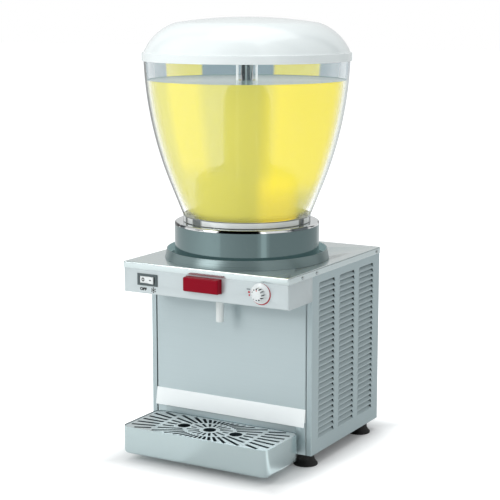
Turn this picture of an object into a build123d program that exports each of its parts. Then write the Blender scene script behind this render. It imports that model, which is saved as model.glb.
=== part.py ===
from build123d import *
from math import cos, hypot, radians, sin, tan
import os

# Countertop cold drink dispenser: a refrigerated steel cabinet, a control box over
# the cup space, a clear bowl with a stirrer on a cooled neck, and a drip tray.
# Millimetres, +Z up, +Y towards the back. X = 0 is the middle of the cabinet, Z = 0
# is the surface it stands on, and Y = 0 is halfway between tray front and gland end.

os.makedirs("parts", exist_ok=True)

# Cabinet
body_width = 330.0
body_depth = 271.7
body_height = 329.6
control_overhang = 85.4
control_height = 54.6
lip_height = 11.5
sheet = 1.0
bend_radius = 2.0
joint_gap = 1.5

# Clearances and cuts
overrun = 2.0
face_gap = 0.3
running_gap = 0.05
press_gap = 0.02
hole_gap = 0.2

# Feet
foot_height = 22.0
foot_base_radius = 21.5
foot_waist_radius = 15.2
foot_top_radius = 16.6
foot_rim = 2.6
foot_waist_height = 15.0
foot_inset_side = 21.3
foot_inset_front = 19.7
foot_inset_back = 36.5

# Drip tray
tray_width = 293.6
tray_depth = 117.0
tray_height = 49.7
tray_drop = 7.7
tray_gap = 10.0
tray_corner = 14.0
tray_foot_round = 6.0
tray_wall = 1.2

# Neck and bowl
bowl_setback = 62.5
neck_shelf = 15.4
neck_wall = 3.0
neck_height = 60.9
deck_height = 5.0
bowl_wall = 3.5
bowl_base_radius = 113.7
bowl_base_height = 11.5
bowl_flare_radius = 134.7
bowl_flare_height = 64.2
bowl_mouth_radius = 180.8
bowl_rim_height = 294.2
bowl_rim_band = 14.7
outlet_inset = 15.3
bowl_mouth_height = bowl_rim_height - bowl_rim_band
neck_radius = bowl_base_radius + neck_shelf
outlet_radius = bowl_base_radius - bowl_wall - outlet_inset

# Tube that the drink falls through, and its nozzle end
tube_radius = 6.75
tube_bore = 4.5
nozzle_drop = 47.0

# Cable gland, the rearmost piece
gland_projection = 9.0

# Levels and planes shared by the pieces
overall_depth = tray_depth + tray_gap + body_depth + gland_projection
front_y = -overall_depth / 2
panel_y = front_y + tray_depth + tray_gap
back_y = panel_y + body_depth
fascia_y = panel_y - control_overhang
base_z = foot_height
cover_z = base_z + body_height
control_z = cover_z - control_height
side_x = body_width / 2
bowl_y = panel_y + bowl_setback
deck_z = cover_z + neck_height
deck_top = deck_z + deck_height
tube_y = bowl_y - outlet_radius

bowl_axis = Axis((0, bowl_y, 0), (0, 0, 1))


def upright(x, y, z=0.0):
    """Vertical plane facing the front, with its origin at a point."""
    return Plane(origin=(x, y, z), x_dir=(1, 0, 0), z_dir=(0, -1, 0))


def level(z, y=0.0, x=0.0):
    """Horizontal plane at a height."""
    return Plane(origin=(x, y, z), x_dir=(1, 0, 0), z_dir=(0, 0, 1))


def sideways(x, y=0.0, z=0.0):
    """Plane facing +X, whose own X runs to the back and whose own Y runs up."""
    return Plane(origin=(x, y, z), x_dir=(0, 1, 0), z_dir=(1, 0, 0))


def outward(x, y, z):
    """Level plane at a point of the fascia, whose own Y runs out to the front."""
    return Plane(origin=(x, y, z), x_dir=(1, 0, 0), z_dir=(0, 0, -1))


# Rubber feet with a flared sole
foot_places = [
    (side, y)
    for side in (foot_inset_side - side_x, side_x - foot_inset_side)
    for y in (panel_y + foot_inset_front, back_y - foot_inset_back)
]
with BuildPart() as feet:
    for foot_x, foot_y in foot_places:
        with BuildSketch(upright(foot_x, foot_y)):
            with BuildLine():
                Line((0, 0), (foot_base_radius, 0))
                Line((foot_base_radius, 0), (foot_base_radius, foot_rim))
                ThreePointArc(
                    (foot_base_radius, foot_rim),
                    (foot_waist_radius, foot_waist_height),
                    (foot_top_radius, foot_height),
                )
                Line((foot_top_radius, foot_height), (0, foot_height))
                Line((0, foot_height), (0, 0))
            make_face()
        revolve(axis=Axis((foot_x, foot_y, 0), (0, 0, 1)))
feet.part.label = "feet"
export_step(feet.part, "parts/feet.step")

# Pan-head screws shared by the cover and the back panel
screw_radius = 1.5
screw_head_radius = 3.3
screw_head_height = 1.6
screw_edge_round = 1.2
screw_length = 5.0
screw_setbacks = (-37.8, 14.2, 256.0)
screw_drop = 7.0
screw_z = cover_z - screw_drop

# Side panels: a sheet with flanges folded in at front and back, and rows of louvres
flange_width = 10.0
back_screw_x = side_x - flange_width / 2
back_screw_heights = (60.0, 175.0, 290.0)
louvre_rows = 28
louvre_columns = 3
louvre_pitch = 10.0
louvre_column_pitch = 79.0
louvre_width = 64.0
louvre_top_width = 57.0
louvre_height = 8.2
louvre_tilt = 38.0
louvre_first_sill = 25.75
louvre_middle_setback = 134.0

panel_top = cover_z - sheet
louvre_columns_y = [
    panel_y + louvre_middle_setback + (i - (louvre_columns - 1) / 2) * louvre_column_pitch
    for i in range(louvre_columns)
]
louvre_sills = [base_z + louvre_first_sill + i * louvre_pitch for i in range(louvre_rows)]


def louvre_outline():
    """A louvre's cut sheet: wide where it stays attached, with its sill on the origin."""
    Polygon(
        (-louvre_width / 2, 0),
        (louvre_width / 2, 0),
        (louvre_top_width / 2, louvre_height),
        (-louvre_top_width / 2, louvre_height),
        align=None,
    )


with BuildPart() as side_panel_right:
    with BuildSketch(level(base_z)):
        with BuildLine():
            FilletPolyline(
                (side_x - flange_width, panel_y),
                (side_x, panel_y),
                (side_x, back_y),
                (side_x - flange_width, back_y),
                radius=bend_radius,
            )
            offset(amount=sheet, side=Side.LEFT)
        make_face()
    extrude(amount=panel_top - base_z)
    with BuildSketch(sideways(side_x)):
        with Locations(*[(y, z) for y in louvre_columns_y for z in louvre_sills]):
            louvre_outline()
    extrude(amount=-overrun, mode=Mode.SUBTRACT)
    louvre_lean = (cos(radians(louvre_tilt)), 0, sin(radians(louvre_tilt)))
    with BuildSketch(
        *[
            Plane(origin=(side_x, y, z), x_dir=(0, 1, 0), z_dir=louvre_lean)
            for y in louvre_columns_y
            for z in louvre_sills
        ]
    ):
        louvre_outline()
    extrude(amount=-sheet)
    with BuildSketch(upright(0, back_y, base_z)):
        with Locations(*[(back_screw_x, z) for z in back_screw_heights]):
            Circle(screw_radius + hole_gap)
    extrude(amount=sheet + overrun, mode=Mode.SUBTRACT)
    with BuildSketch(sideways(side_x, panel_y, screw_z)):
        with Locations(*[(setback, 0) for setback in screw_setbacks[1:]]):
            Circle(screw_radius + hole_gap)
    extrude(amount=-(sheet + overrun), mode=Mode.SUBTRACT)
side_panel_right.part.label = "side_panel_right"
export_step(side_panel_right.part, "parts/side_panel_right.step")

with BuildPart() as side_panel_left:
    mirror(side_panel_right.part, about=Plane.YZ)
side_panel_left.part.label = "side_panel_left"
export_step(side_panel_left.part, "parts/side_panel_left.step")

# Base pan: a folded floor tray
pan_height = 24.0
pan_width = body_width - 2 * sheet
pan_front_y = panel_y + sheet
pan_back_y = back_y - sheet
with BuildPart() as base_pan:
    with BuildSketch(level(base_z, (pan_front_y + pan_back_y) / 2)):
        RectangleRounded(pan_width, pan_back_y - pan_front_y, bend_radius)
    extrude(amount=pan_height)
    with BuildSketch(level(base_z + sheet, (pan_front_y + pan_back_y) / 2)):
        RectangleRounded(
            pan_width - 2 * sheet, pan_back_y - pan_front_y - 2 * sheet, bend_radius - sheet
        )
    extrude(amount=pan_height, mode=Mode.SUBTRACT)
base_pan.part.label = "base_pan"
export_step(base_pan.part, "parts/base_pan.step")
pan_floor_z = base_z + sheet

# Back panel behind the side panels' flanges, with two blocks of vent slots
vent_slot_width = 96.0
vent_slot_height = 5.0
vent_slot_pitch = 12.0
vent_slot_rows = 14
vent_block_pitch = 116.0
vent_middle_height = 196.0
gland_offset = 118.0
gland_height = 46.0
gland_neck_radius = 8.0
back_panel_z = base_z + pan_height + face_gap
back_panel_y = back_y - sheet
back_panel_width = body_width - 2 * (bend_radius + face_gap)
with BuildPart() as back_panel:
    with BuildSketch(upright(0, back_panel_y, base_z)):
        with Locations((0, (back_panel_z + panel_top) / 2 - base_z)):
            Rectangle(back_panel_width, panel_top - back_panel_z)
        with Locations((0, vent_middle_height)):
            with GridLocations(vent_block_pitch, vent_slot_pitch, 2, vent_slot_rows):
                Rectangle(vent_slot_width, vent_slot_height, mode=Mode.SUBTRACT)
        with Locations((-gland_offset, gland_height)):
            Circle(gland_neck_radius + hole_gap, mode=Mode.SUBTRACT)
        with Locations(*[(side * back_screw_x, z) for side in (-1, 1) for z in back_screw_heights]):
            Circle(screw_radius + hole_gap, mode=Mode.SUBTRACT)
    extrude(amount=sheet)
back_panel.part.label = "back_panel"
export_step(back_panel.part, "parts/back_panel.step")

# Pan-head screws that hold the back panel to the flanges
with BuildPart() as panel_screws:
    with BuildSketch(upright(0, back_y, base_z)):
        with Locations(*[(side * back_screw_x, z) for side in (-1, 1) for z in back_screw_heights]):
            Circle(screw_head_radius)
    extrude(amount=-screw_head_height)
    fillet(panel_screws.faces().group_by(Axis.Y)[-1].edges(), radius=screw_edge_round)
    with BuildSketch(upright(0, back_y, base_z)):
        with Locations(*[(side * back_screw_x, z) for side in (-1, 1) for z in back_screw_heights]):
            Circle(screw_radius)
    extrude(amount=screw_length)
panel_screws.part.label = "panel_screws"
export_step(panel_screws.part, "parts/panel_screws.step")

# Front panel: a shallow folded tray set between the side panels' flanges
front_panel_width = body_width - 2 * flange_width - 2 * joint_gap
front_return = 9.0
with BuildPart() as front_panel:
    with BuildSketch(level(base_z + pan_height + face_gap)):
        with BuildLine():
            FilletPolyline(
                (-front_panel_width / 2, panel_y + front_return),
                (-front_panel_width / 2, panel_y),
                (front_panel_width / 2, panel_y),
                (front_panel_width / 2, panel_y + front_return),
                radius=bend_radius,
            )
            offset(amount=sheet, side=Side.LEFT)
        make_face()
    extrude(amount=control_z + front_return - base_z - pan_height)
    with BuildSketch(upright(0, panel_y, base_z)):
        with Locations((0, (pan_height + face_gap) / 2)):
            Rectangle(front_panel_width, pan_height + face_gap)
    extrude(amount=-sheet)
front_panel.part.label = "front_panel"
export_step(front_panel.part, "parts/front_panel.step")

# Places of the controls on the fascia
button_width = 71.0
button_height = 25.5
button_drop = 26.9
button_travel = 6.0
button_proud = 12.5
switch_x = -115.4
switch_drop = 29.6
switch_width = 41.8
switch_height = 21.0
knob_x = 111.7
knob_drop = 30.4
thermostat_neck_radius = 5.0
button_z = cover_z - button_drop
switch_z = cover_z - switch_drop
knob_z = cover_z - knob_drop
switch_box_width = switch_width - 4 * sheet
switch_box_height = switch_height - 4 * sheet

# Control box: fascia, cheeks and floor, open at the top and towards the cabinet
cover_corner = 3.0
control_round = cover_corner - sheet
fascia_inner_y = fascia_y + sheet
control_mid_y = (fascia_y + panel_y) / 2
with BuildPart() as control_box:
    with BuildSketch(level(control_z, control_mid_y)):
        Rectangle(body_width, control_overhang)
    extrude(amount=control_height - sheet)
    fillet(
        control_box.edges().filter_by(Axis.Z).group_by(Axis.Y)[0]
        + control_box.edges().group_by(Axis.Y)[0].filter_by(Axis.X).sort_by(Axis.Z)[0:1],
        radius=control_round,
    )
    with BuildSketch(level(control_z + sheet, control_mid_y + sheet)):
        Rectangle(body_width - 2 * sheet, control_overhang)
    extrude(amount=control_height, mode=Mode.SUBTRACT)
    with BuildSketch(upright(0, fascia_y)):
        with Locations((0, button_z)):
            Rectangle(button_width + 2 * face_gap, button_height + 2 * face_gap)
        with Locations((switch_x, switch_z)):
            Rectangle(switch_box_width + 2 * hole_gap, switch_box_height + 2 * hole_gap)
        with Locations((knob_x, knob_z)):
            Circle(thermostat_neck_radius + hole_gap)
    extrude(amount=-(sheet + overrun), mode=Mode.SUBTRACT)
    with BuildSketch(level(control_z, tube_y)):
        Circle(tube_radius + face_gap)
    extrude(amount=sheet + overrun, mode=Mode.SUBTRACT)
    with BuildSketch(sideways(0, panel_y + screw_setbacks[0], screw_z)):
        Circle(screw_radius + hole_gap)
    extrude(amount=side_x + overrun, both=True, mode=Mode.SUBTRACT)
control_box.part.label = "control_box"
export_step(control_box.part, "parts/control_box.step")

# Top cover with a lip all round and a hole under the neck
cover_round = 2.2
cover_hole_margin = 11.1
cover_hole_radius = neck_radius - cover_hole_margin
cover_front_y = fascia_y - sheet
cover_back_y = back_y + sheet
cover_mid_y = (cover_front_y + cover_back_y) / 2
cover_depth = cover_back_y - cover_front_y
with BuildPart() as top_cover:
    with BuildSketch(level(cover_z - lip_height, cover_mid_y)):
        RectangleRounded(body_width + 2 * sheet, cover_depth, cover_corner)
    extrude(amount=lip_height)
    fillet(top_cover.faces().sort_by(Axis.Z)[-1].edges(), radius=cover_round)
    with BuildSketch(level(cover_z - lip_height, cover_mid_y)):
        RectangleRounded(body_width, cover_depth - 2 * sheet, cover_corner - sheet)
    extrude(amount=lip_height - sheet, mode=Mode.SUBTRACT)
    with BuildSketch(level(cover_z - lip_height, bowl_y)):
        Circle(cover_hole_radius)
    extrude(amount=lip_height + overrun, mode=Mode.SUBTRACT)
    with BuildSketch(sideways(0, panel_y, screw_z)):
        with Locations(*[(setback, 0) for setback in screw_setbacks]):
            Circle(screw_radius + hole_gap)
    extrude(amount=side_x + sheet + overrun, both=True, mode=Mode.SUBTRACT)
top_cover.part.label = "top_cover"
export_step(top_cover.part, "parts/top_cover.step")

# Pan-head screws through the cover's lip, three a side
lip_faces = [
    Plane(origin=(side * (side_x + sheet), panel_y, screw_z), x_dir=(0, 1, 0), z_dir=(side, 0, 0))
    for side in (-1, 1)
]
with BuildPart() as cover_screws:
    with BuildSketch(*lip_faces):
        with Locations(*[(setback, 0) for setback in screw_setbacks]):
            Circle(screw_head_radius)
    extrude(amount=screw_head_height)
    head_faces = cover_screws.faces().group_by(Axis.X)
    fillet((head_faces[0] + head_faces[-1]).edges(), radius=screw_edge_round)
    with BuildSketch(*lip_faces):
        with Locations(*[(setback, 0) for setback in screw_setbacks]):
            Circle(screw_radius)
    extrude(amount=-screw_length)
cover_screws.part.label = "cover_screws"
export_step(cover_screws.part, "parts/cover_screws.step")

# Drip collar round the foot of the neck: a gutter with a wall that leans in
collar_gutter = 17.6
collar_lean = 3.5
collar_base_radius = neck_radius + collar_gutter
collar_top_radius = collar_base_radius - collar_lean
collar_height = 17.0
collar_wall = 1.2
with BuildPart() as drip_collar:
    with BuildSketch(upright(0, bowl_y, cover_z)):
        with BuildLine():
            Polyline(
                (neck_radius + face_gap, 0),
                (collar_base_radius, 0),
                (collar_top_radius, collar_height),
                (collar_top_radius - collar_wall, collar_height),
                (collar_base_radius - collar_wall, collar_wall),
                (neck_radius + face_gap, collar_wall),
                close=True,
            )
        make_face()
    revolve(axis=bowl_axis)
drip_collar.part.label = "drip_collar"
export_step(drip_collar.part, "parts/drip_collar.step")

# Neck drum that carries the deck and hides the foam
with BuildPart() as neck_drum:
    with BuildSketch(level(cover_z, bowl_y)):
        Circle(neck_radius)
        Circle(neck_radius - neck_wall, mode=Mode.SUBTRACT)
    extrude(amount=neck_height)
neck_drum.part.label = "neck_drum"
export_step(neck_drum.part, "parts/neck_drum.step")

# Deck: a polished dished ring that the bowl stands on
deck_sheet = 2.0
deck_rim = 1.5
deck_round = 1.4
socket_radius = 8.9
outlet_spacing = 14.4
evaporator_flange_radius = outlet_radius - outlet_spacing
evaporator_flange_width = 12.5
evaporator_radius = evaporator_flange_radius - evaporator_flange_width
evaporator_wall = 1.5
deck_bore = evaporator_radius - evaporator_wall + sheet
deck_plate_z = deck_top - deck_sheet
with BuildPart() as deck_ring:
    with BuildSketch(upright(0, bowl_y, deck_z)):
        with BuildLine():
            Polyline(
                (neck_radius, 0),
                (neck_radius, deck_height - deck_round),
                (neck_radius - deck_round, deck_height),
                (deck_bore, deck_height),
                (deck_bore, deck_height - deck_sheet),
                (neck_radius - deck_rim, deck_height - deck_sheet),
                (neck_radius - deck_rim, 0),
                close=True,
            )
        make_face()
    revolve(axis=bowl_axis)
    with BuildSketch(level(deck_plate_z, tube_y)):
        Circle(socket_radius + hole_gap)
    extrude(amount=deck_sheet + overrun, mode=Mode.SUBTRACT)
deck_ring.part.label = "deck_ring"
export_step(deck_ring.part, "parts/deck_ring.step")

# Evaporator: a steel cup turned over on the deck, with a chimney for the stirrer's shaft
evaporator_height = 72.5
evaporator_flange = 2.0
evaporator_shoulder = 8.0
chimney_radius = 10.5
chimney_wall = 1.5
chimney_height = 276.0
chimney_bore = chimney_radius - chimney_wall
with BuildPart() as evaporator:
    with BuildSketch(upright(0, bowl_y, deck_top)):
        with BuildLine():
            Polyline(
                (evaporator_radius - evaporator_wall, 0),
                (evaporator_flange_radius, 0),
                (evaporator_flange_radius, evaporator_flange),
                (evaporator_radius, evaporator_flange),
                (evaporator_radius, evaporator_height - evaporator_shoulder),
            )
            RadiusArc(
                (evaporator_radius, evaporator_height - evaporator_shoulder),
                (evaporator_radius - evaporator_shoulder, evaporator_height),
                -evaporator_shoulder,
            )
            Polyline(
                (evaporator_radius - evaporator_shoulder, evaporator_height),
                (chimney_radius, evaporator_height),
                (chimney_radius, chimney_height),
                (chimney_bore, chimney_height),
                (chimney_bore, evaporator_height - evaporator_wall),
                (evaporator_radius - evaporator_shoulder, evaporator_height - evaporator_wall),
            )
            RadiusArc(
                (evaporator_radius - evaporator_shoulder, evaporator_height - evaporator_wall),
                (evaporator_radius - evaporator_wall, evaporator_height - evaporator_shoulder),
                evaporator_shoulder - evaporator_wall,
            )
            Line(
                (evaporator_radius - evaporator_wall, evaporator_height - evaporator_shoulder),
                (evaporator_radius - evaporator_wall, 0),
            )
        make_face()
    revolve(axis=bowl_axis)
evaporator.part.label = "evaporator"
export_step(evaporator.part, "parts/evaporator.step")

# Cooling coil inside the evaporator, drawn as the sleeve that its turns fill
coil_thickness = 6.0
coil_height = 52.0
coil_floor = 4.0
coil_radius = evaporator_radius - evaporator_wall - face_gap
with BuildPart() as evaporator_coil:
    with BuildSketch(level(deck_top + coil_floor, bowl_y)):
        Circle(coil_radius)
        Circle(coil_radius - coil_thickness, mode=Mode.SUBTRACT)
    extrude(amount=coil_height)
evaporator_coil.part.label = "evaporator_coil"
export_step(evaporator_coil.part, "parts/evaporator_coil.step")

# Foam that fills the neck, round the shaft, the outlet and the suction pipe
foam_shaft_bore = 12.0
foam_top_gap = 2.0
pipe_radius = 3.0
suction_offset = coil_radius - coil_thickness / 2
socket_collar_radius = 11.5
socket_collar_height = 3.0
with BuildPart() as foam_core:
    with BuildSketch(level(cover_z, bowl_y)):
        Circle(neck_radius - neck_wall - face_gap)
        Circle(foam_shaft_bore, mode=Mode.SUBTRACT)
        with Locations((0, -outlet_radius)):
            Circle(socket_radius + hole_gap, mode=Mode.SUBTRACT)
        with Locations((0, suction_offset)):
            Circle(pipe_radius + hole_gap, mode=Mode.SUBTRACT)
    extrude(amount=deck_plate_z - cover_z)
    with BuildSketch(level(deck_plate_z, tube_y)):
        Circle(socket_collar_radius + hole_gap)
    extrude(amount=-socket_collar_height, mode=Mode.SUBTRACT)
foam_core.part.label = "foam_core"
export_step(foam_core.part, "parts/foam_core.step")

# Foam plug that fills the middle of the evaporator and stands on the neck's foam
foam_plug_radius = coil_radius - coil_thickness - face_gap
with BuildPart() as foam_plug:
    with BuildSketch(level(deck_plate_z, bowl_y)):
        Circle(foam_plug_radius)
        Circle(foam_shaft_bore, mode=Mode.SUBTRACT)
    extrude(amount=evaporator_height - evaporator_wall - foam_top_gap + deck_sheet)
foam_plug.part.label = "foam_plug"
export_step(foam_plug.part, "parts/foam_plug.step")

# Rubber gasket between the evaporator's flange and the bowl's floor
gasket_width = 6.0
gasket_height = 4.0
gasket_inner_radius = evaporator_flange_radius
gasket_outer_radius = gasket_inner_radius + gasket_width
with BuildPart() as bowl_gasket:
    with BuildSketch(level(deck_top, bowl_y)):
        Circle(gasket_outer_radius)
        Circle(gasket_inner_radius + press_gap, mode=Mode.SUBTRACT)
    extrude(amount=gasket_height)
bowl_gasket.part.label = "bowl_gasket"
export_step(bowl_gasket.part, "parts/bowl_gasket.step")

# Bowl: a clear moulding, flared from its foot ring and rounded up to the mouth
flare_slope = Vector(
    bowl_flare_radius - bowl_base_radius, bowl_flare_height - bowl_base_height
)
with BuildPart() as bowl:
    with BuildSketch(upright(0, bowl_y, deck_top)):
        with BuildLine():
            Polyline(
                (bowl_base_radius - bowl_wall, 0),
                (bowl_base_radius, 0),
                (bowl_base_radius, bowl_base_height),
                (bowl_flare_radius, bowl_flare_height),
            )
            TangentArc(
                (bowl_flare_radius, bowl_flare_height),
                (bowl_mouth_radius, bowl_mouth_height),
                tangent=flare_slope,
            )
            Polyline(
                (bowl_mouth_radius, bowl_mouth_height),
                (bowl_mouth_radius, bowl_rim_height),
                (bowl_mouth_radius - bowl_wall, bowl_rim_height),
                (bowl_mouth_radius - bowl_wall, bowl_mouth_height),
            )
            TangentArc(
                (bowl_flare_radius - bowl_wall, bowl_flare_height),
                (bowl_mouth_radius - bowl_wall, bowl_mouth_height),
                tangent=flare_slope,
            )
            Polyline(
                (bowl_flare_radius - bowl_wall, bowl_flare_height),
                (bowl_base_radius - bowl_wall, bowl_base_height),
                (bowl_base_radius - bowl_wall, 0),
            )
        make_face()
    revolve(axis=bowl_axis)
bowl.part.label = "bowl"
export_step(bowl.part, "parts/bowl.step")

# Floor of the bowl: a clear ring bonded inside the foot, with the outlet's spigot
bowl_floor_thickness = 3.5
bowl_floor_hole = evaporator_flange_radius + 2.5 * sheet
outlet_wall = 2.0
outlet_length = 14.0
floor_under = gasket_height + face_gap
floor_top = floor_under + bowl_floor_thickness
outlet_outer = tube_bore + outlet_wall - face_gap
with BuildPart() as bowl_floor:
    with BuildSketch(level(deck_top + floor_under, bowl_y)):
        Circle(bowl_base_radius - bowl_wall - press_gap)
        Circle(bowl_floor_hole, mode=Mode.SUBTRACT)
    extrude(amount=bowl_floor_thickness)
    with BuildSketch(level(deck_top - outlet_length, tube_y)):
        Circle(outlet_outer)
    extrude(amount=outlet_length + floor_top)
    with BuildSketch(level(deck_top - outlet_length, tube_y)):
        Circle(outlet_outer - outlet_wall)
    extrude(amount=outlet_length + floor_top + overrun, mode=Mode.SUBTRACT)
bowl_floor.part.label = "bowl_floor"
export_step(bowl_floor.part, "parts/bowl_floor.step")

# Socket in the deck that the bowl's outlet plugs into, with a barb for the tube
socket_length = 26.0
socket_floor = 17.0
socket_bore = outlet_outer + face_gap
barb_radius = tube_bore - running_gap
barb_bore = 3.2
barb_length = 12.0
with BuildPart() as outlet_socket:
    with BuildSketch(level(deck_top - socket_length, tube_y)):
        Circle(socket_radius)
    extrude(amount=socket_length)
    with BuildSketch(level(deck_plate_z, tube_y)):
        Circle(socket_collar_radius)
    extrude(amount=-socket_collar_height)
    with BuildSketch(level(deck_top - socket_length - barb_length, tube_y)):
        Circle(barb_radius)
    extrude(amount=barb_length)
    with BuildSketch(level(deck_top - socket_floor, tube_y)):
        Circle(socket_bore)
    extrude(amount=socket_floor + overrun, mode=Mode.SUBTRACT)
    with BuildSketch(level(deck_top - socket_length - barb_length - overrun, tube_y)):
        Circle(barb_bore)
    extrude(amount=socket_length + barb_length, mode=Mode.SUBTRACT)
outlet_socket.part.label = "outlet_socket"
export_step(outlet_socket.part, "parts/outlet_socket.step")

# Soft drink tube from the socket to the nozzle, pinched flat behind the button
pinch_half_width = 9.6
pinch_half_thickness = 2.2
pinch_half_height = 3.5
pinch_ramp = 13.0
nozzle_z = control_z - nozzle_drop
tube_top = deck_top - socket_length
with BuildPart() as drink_tube:
    with BuildSketch(level(nozzle_z, tube_y)):
        Circle(tube_radius)
        Circle(tube_bore, mode=Mode.SUBTRACT)
    extrude(amount=button_z - pinch_half_height - pinch_ramp - nozzle_z)
    for side in (-1, 1):
        with BuildSketch(level(button_z + side * pinch_half_height, tube_y)):
            Ellipse(pinch_half_width, pinch_half_thickness)
        with BuildSketch(level(button_z + side * (pinch_half_height + pinch_ramp), tube_y)):
            Circle(tube_radius)
        loft()
    with BuildSketch(level(button_z - pinch_half_height, tube_y)):
        Ellipse(pinch_half_width, pinch_half_thickness)
    extrude(amount=2 * pinch_half_height)
    with BuildSketch(level(button_z + pinch_half_height + pinch_ramp, tube_y)):
        Circle(tube_radius)
        Circle(tube_bore, mode=Mode.SUBTRACT)
    extrude(amount=tube_top - button_z - pinch_half_height - pinch_ramp)
drink_tube.part.label = "drink_tube"
export_step(drink_tube.part, "parts/drink_tube.step")

# Valve bracket on the control box's floor: the anvil's nose and the spring's back wall
bracket_width = 20.0
bracket_sheet = 2.0
bracket_front = 18.0
bracket_back = 26.0
anvil_post_setback = 8.5
anvil_post_depth = 5.0
nose_half_height = 2.6
anvil_margin = 5.0
bracket_floor_z = control_z + sheet
nose_y = -(pinch_half_thickness + face_gap)
with BuildPart() as valve_bracket:
    with BuildSketch(sideways(0, tube_y, bracket_floor_z)):
        with BuildLine():
            post_top = button_z + nose_half_height + anvil_margin - bracket_floor_z
            nose_low = button_z - nose_half_height - bracket_floor_z
            nose_high = button_z + nose_half_height - bracket_floor_z
            Polyline(
                (-bracket_front, 0),
                (bracket_back, 0),
                (bracket_back, post_top),
                (bracket_back - bracket_sheet, post_top),
                (bracket_back - bracket_sheet, bracket_sheet),
                (-anvil_post_setback, bracket_sheet),
                (-anvil_post_setback, nose_low - anvil_margin),
                (nose_y, nose_low),
                (nose_y, nose_high),
                (-anvil_post_setback, nose_high + anvil_margin),
                (-anvil_post_setback - anvil_post_depth, nose_high + anvil_margin),
                (-anvil_post_setback - anvil_post_depth, bracket_sheet),
                (-bracket_front, bracket_sheet),
                close=True,
            )
        make_face()
    extrude(amount=bracket_width / 2, both=True)
    with BuildSketch(level(bracket_floor_z, tube_y)):
        Circle(tube_radius + face_gap)
    extrude(amount=bracket_sheet + overrun, mode=Mode.SUBTRACT)
valve_bracket.part.label = "valve_bracket"
export_step(valve_bracket.part, "parts/valve_bracket.step")

# Dispense button: a hollow red cap that passes through the fascia and stops on a flange
button_wall = 2.5
button_flange = 2.0
button_flange_depth = 1.5
button_round = 3.0
button_edge_round = 2.4
button_draft = 2.0
button_front_y = fascia_y - button_proud
button_back_y = fascia_inner_y + button_flange_depth
with BuildPart() as dispense_button:
    with BuildSketch(upright(0, button_back_y, button_z)):
        RectangleRounded(button_width, button_height, button_round)
    extrude(amount=button_back_y - button_front_y, taper=button_draft)
    fillet(dispense_button.faces().sort_by(Axis.Y)[0].edges(), radius=button_edge_round)
    with BuildSketch(upright(0, button_back_y, button_z)):
        RectangleRounded(
            button_width + 2 * button_flange, button_height + 2 * button_flange, button_round
        )
    extrude(amount=button_flange_depth)
    with BuildSketch(upright(0, button_back_y, button_z)):
        Rectangle(button_width - 2 * button_wall, button_height - 2 * button_wall)
    extrude(amount=button_back_y - button_front_y - button_wall, mode=Mode.SUBTRACT)
dispense_button.part.label = "dispense_button"
export_step(dispense_button.part, "parts/dispense_button.step")

# Pinch yoke: two arms round the tube that carry the pinch bar behind it
yoke_arm = 3.0
yoke_height = 2 * nose_half_height
yoke_bar = 5.0
yoke_inner = bracket_width / 2 + 2 * sheet
yoke_front_y = button_front_y + button_wall
yoke_bar_y = tube_y + pinch_half_thickness + face_gap
yoke_back_y = yoke_bar_y + yoke_bar
with BuildPart() as pinch_yoke:
    with BuildSketch(level(button_z - yoke_height / 2, (yoke_front_y + yoke_back_y) / 2)):
        RectangleRounded(2 * (yoke_inner + yoke_arm), yoke_back_y - yoke_front_y, yoke_arm / 2)
    extrude(amount=yoke_height)
    with BuildSketch(level(button_z - yoke_height / 2, (yoke_front_y + yoke_bar_y) / 2)):
        with Locations((0, yoke_arm / 2)):
            Rectangle(2 * yoke_inner, yoke_bar_y - yoke_front_y - yoke_arm)
    extrude(amount=yoke_height, mode=Mode.SUBTRACT)
pinch_yoke.part.label = "pinch_yoke"
export_step(pinch_yoke.part, "parts/pinch_yoke.step")

# Return spring between the pinch bar and the bracket, drawn as the sleeve of its coils
spring_radius = 5.0
spring_wire = 1.0
spring_front_y = yoke_back_y + running_gap
spring_back_y = tube_y + bracket_back - bracket_sheet - running_gap
with BuildPart() as return_spring:
    with BuildSketch(upright(0, spring_back_y, button_z)):
        Circle(spring_radius)
        Circle(spring_radius - spring_wire, mode=Mode.SUBTRACT)
    extrude(amount=spring_back_y - spring_front_y)
return_spring.part.label = "return_spring"
export_step(return_spring.part, "parts/return_spring.step")

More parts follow.
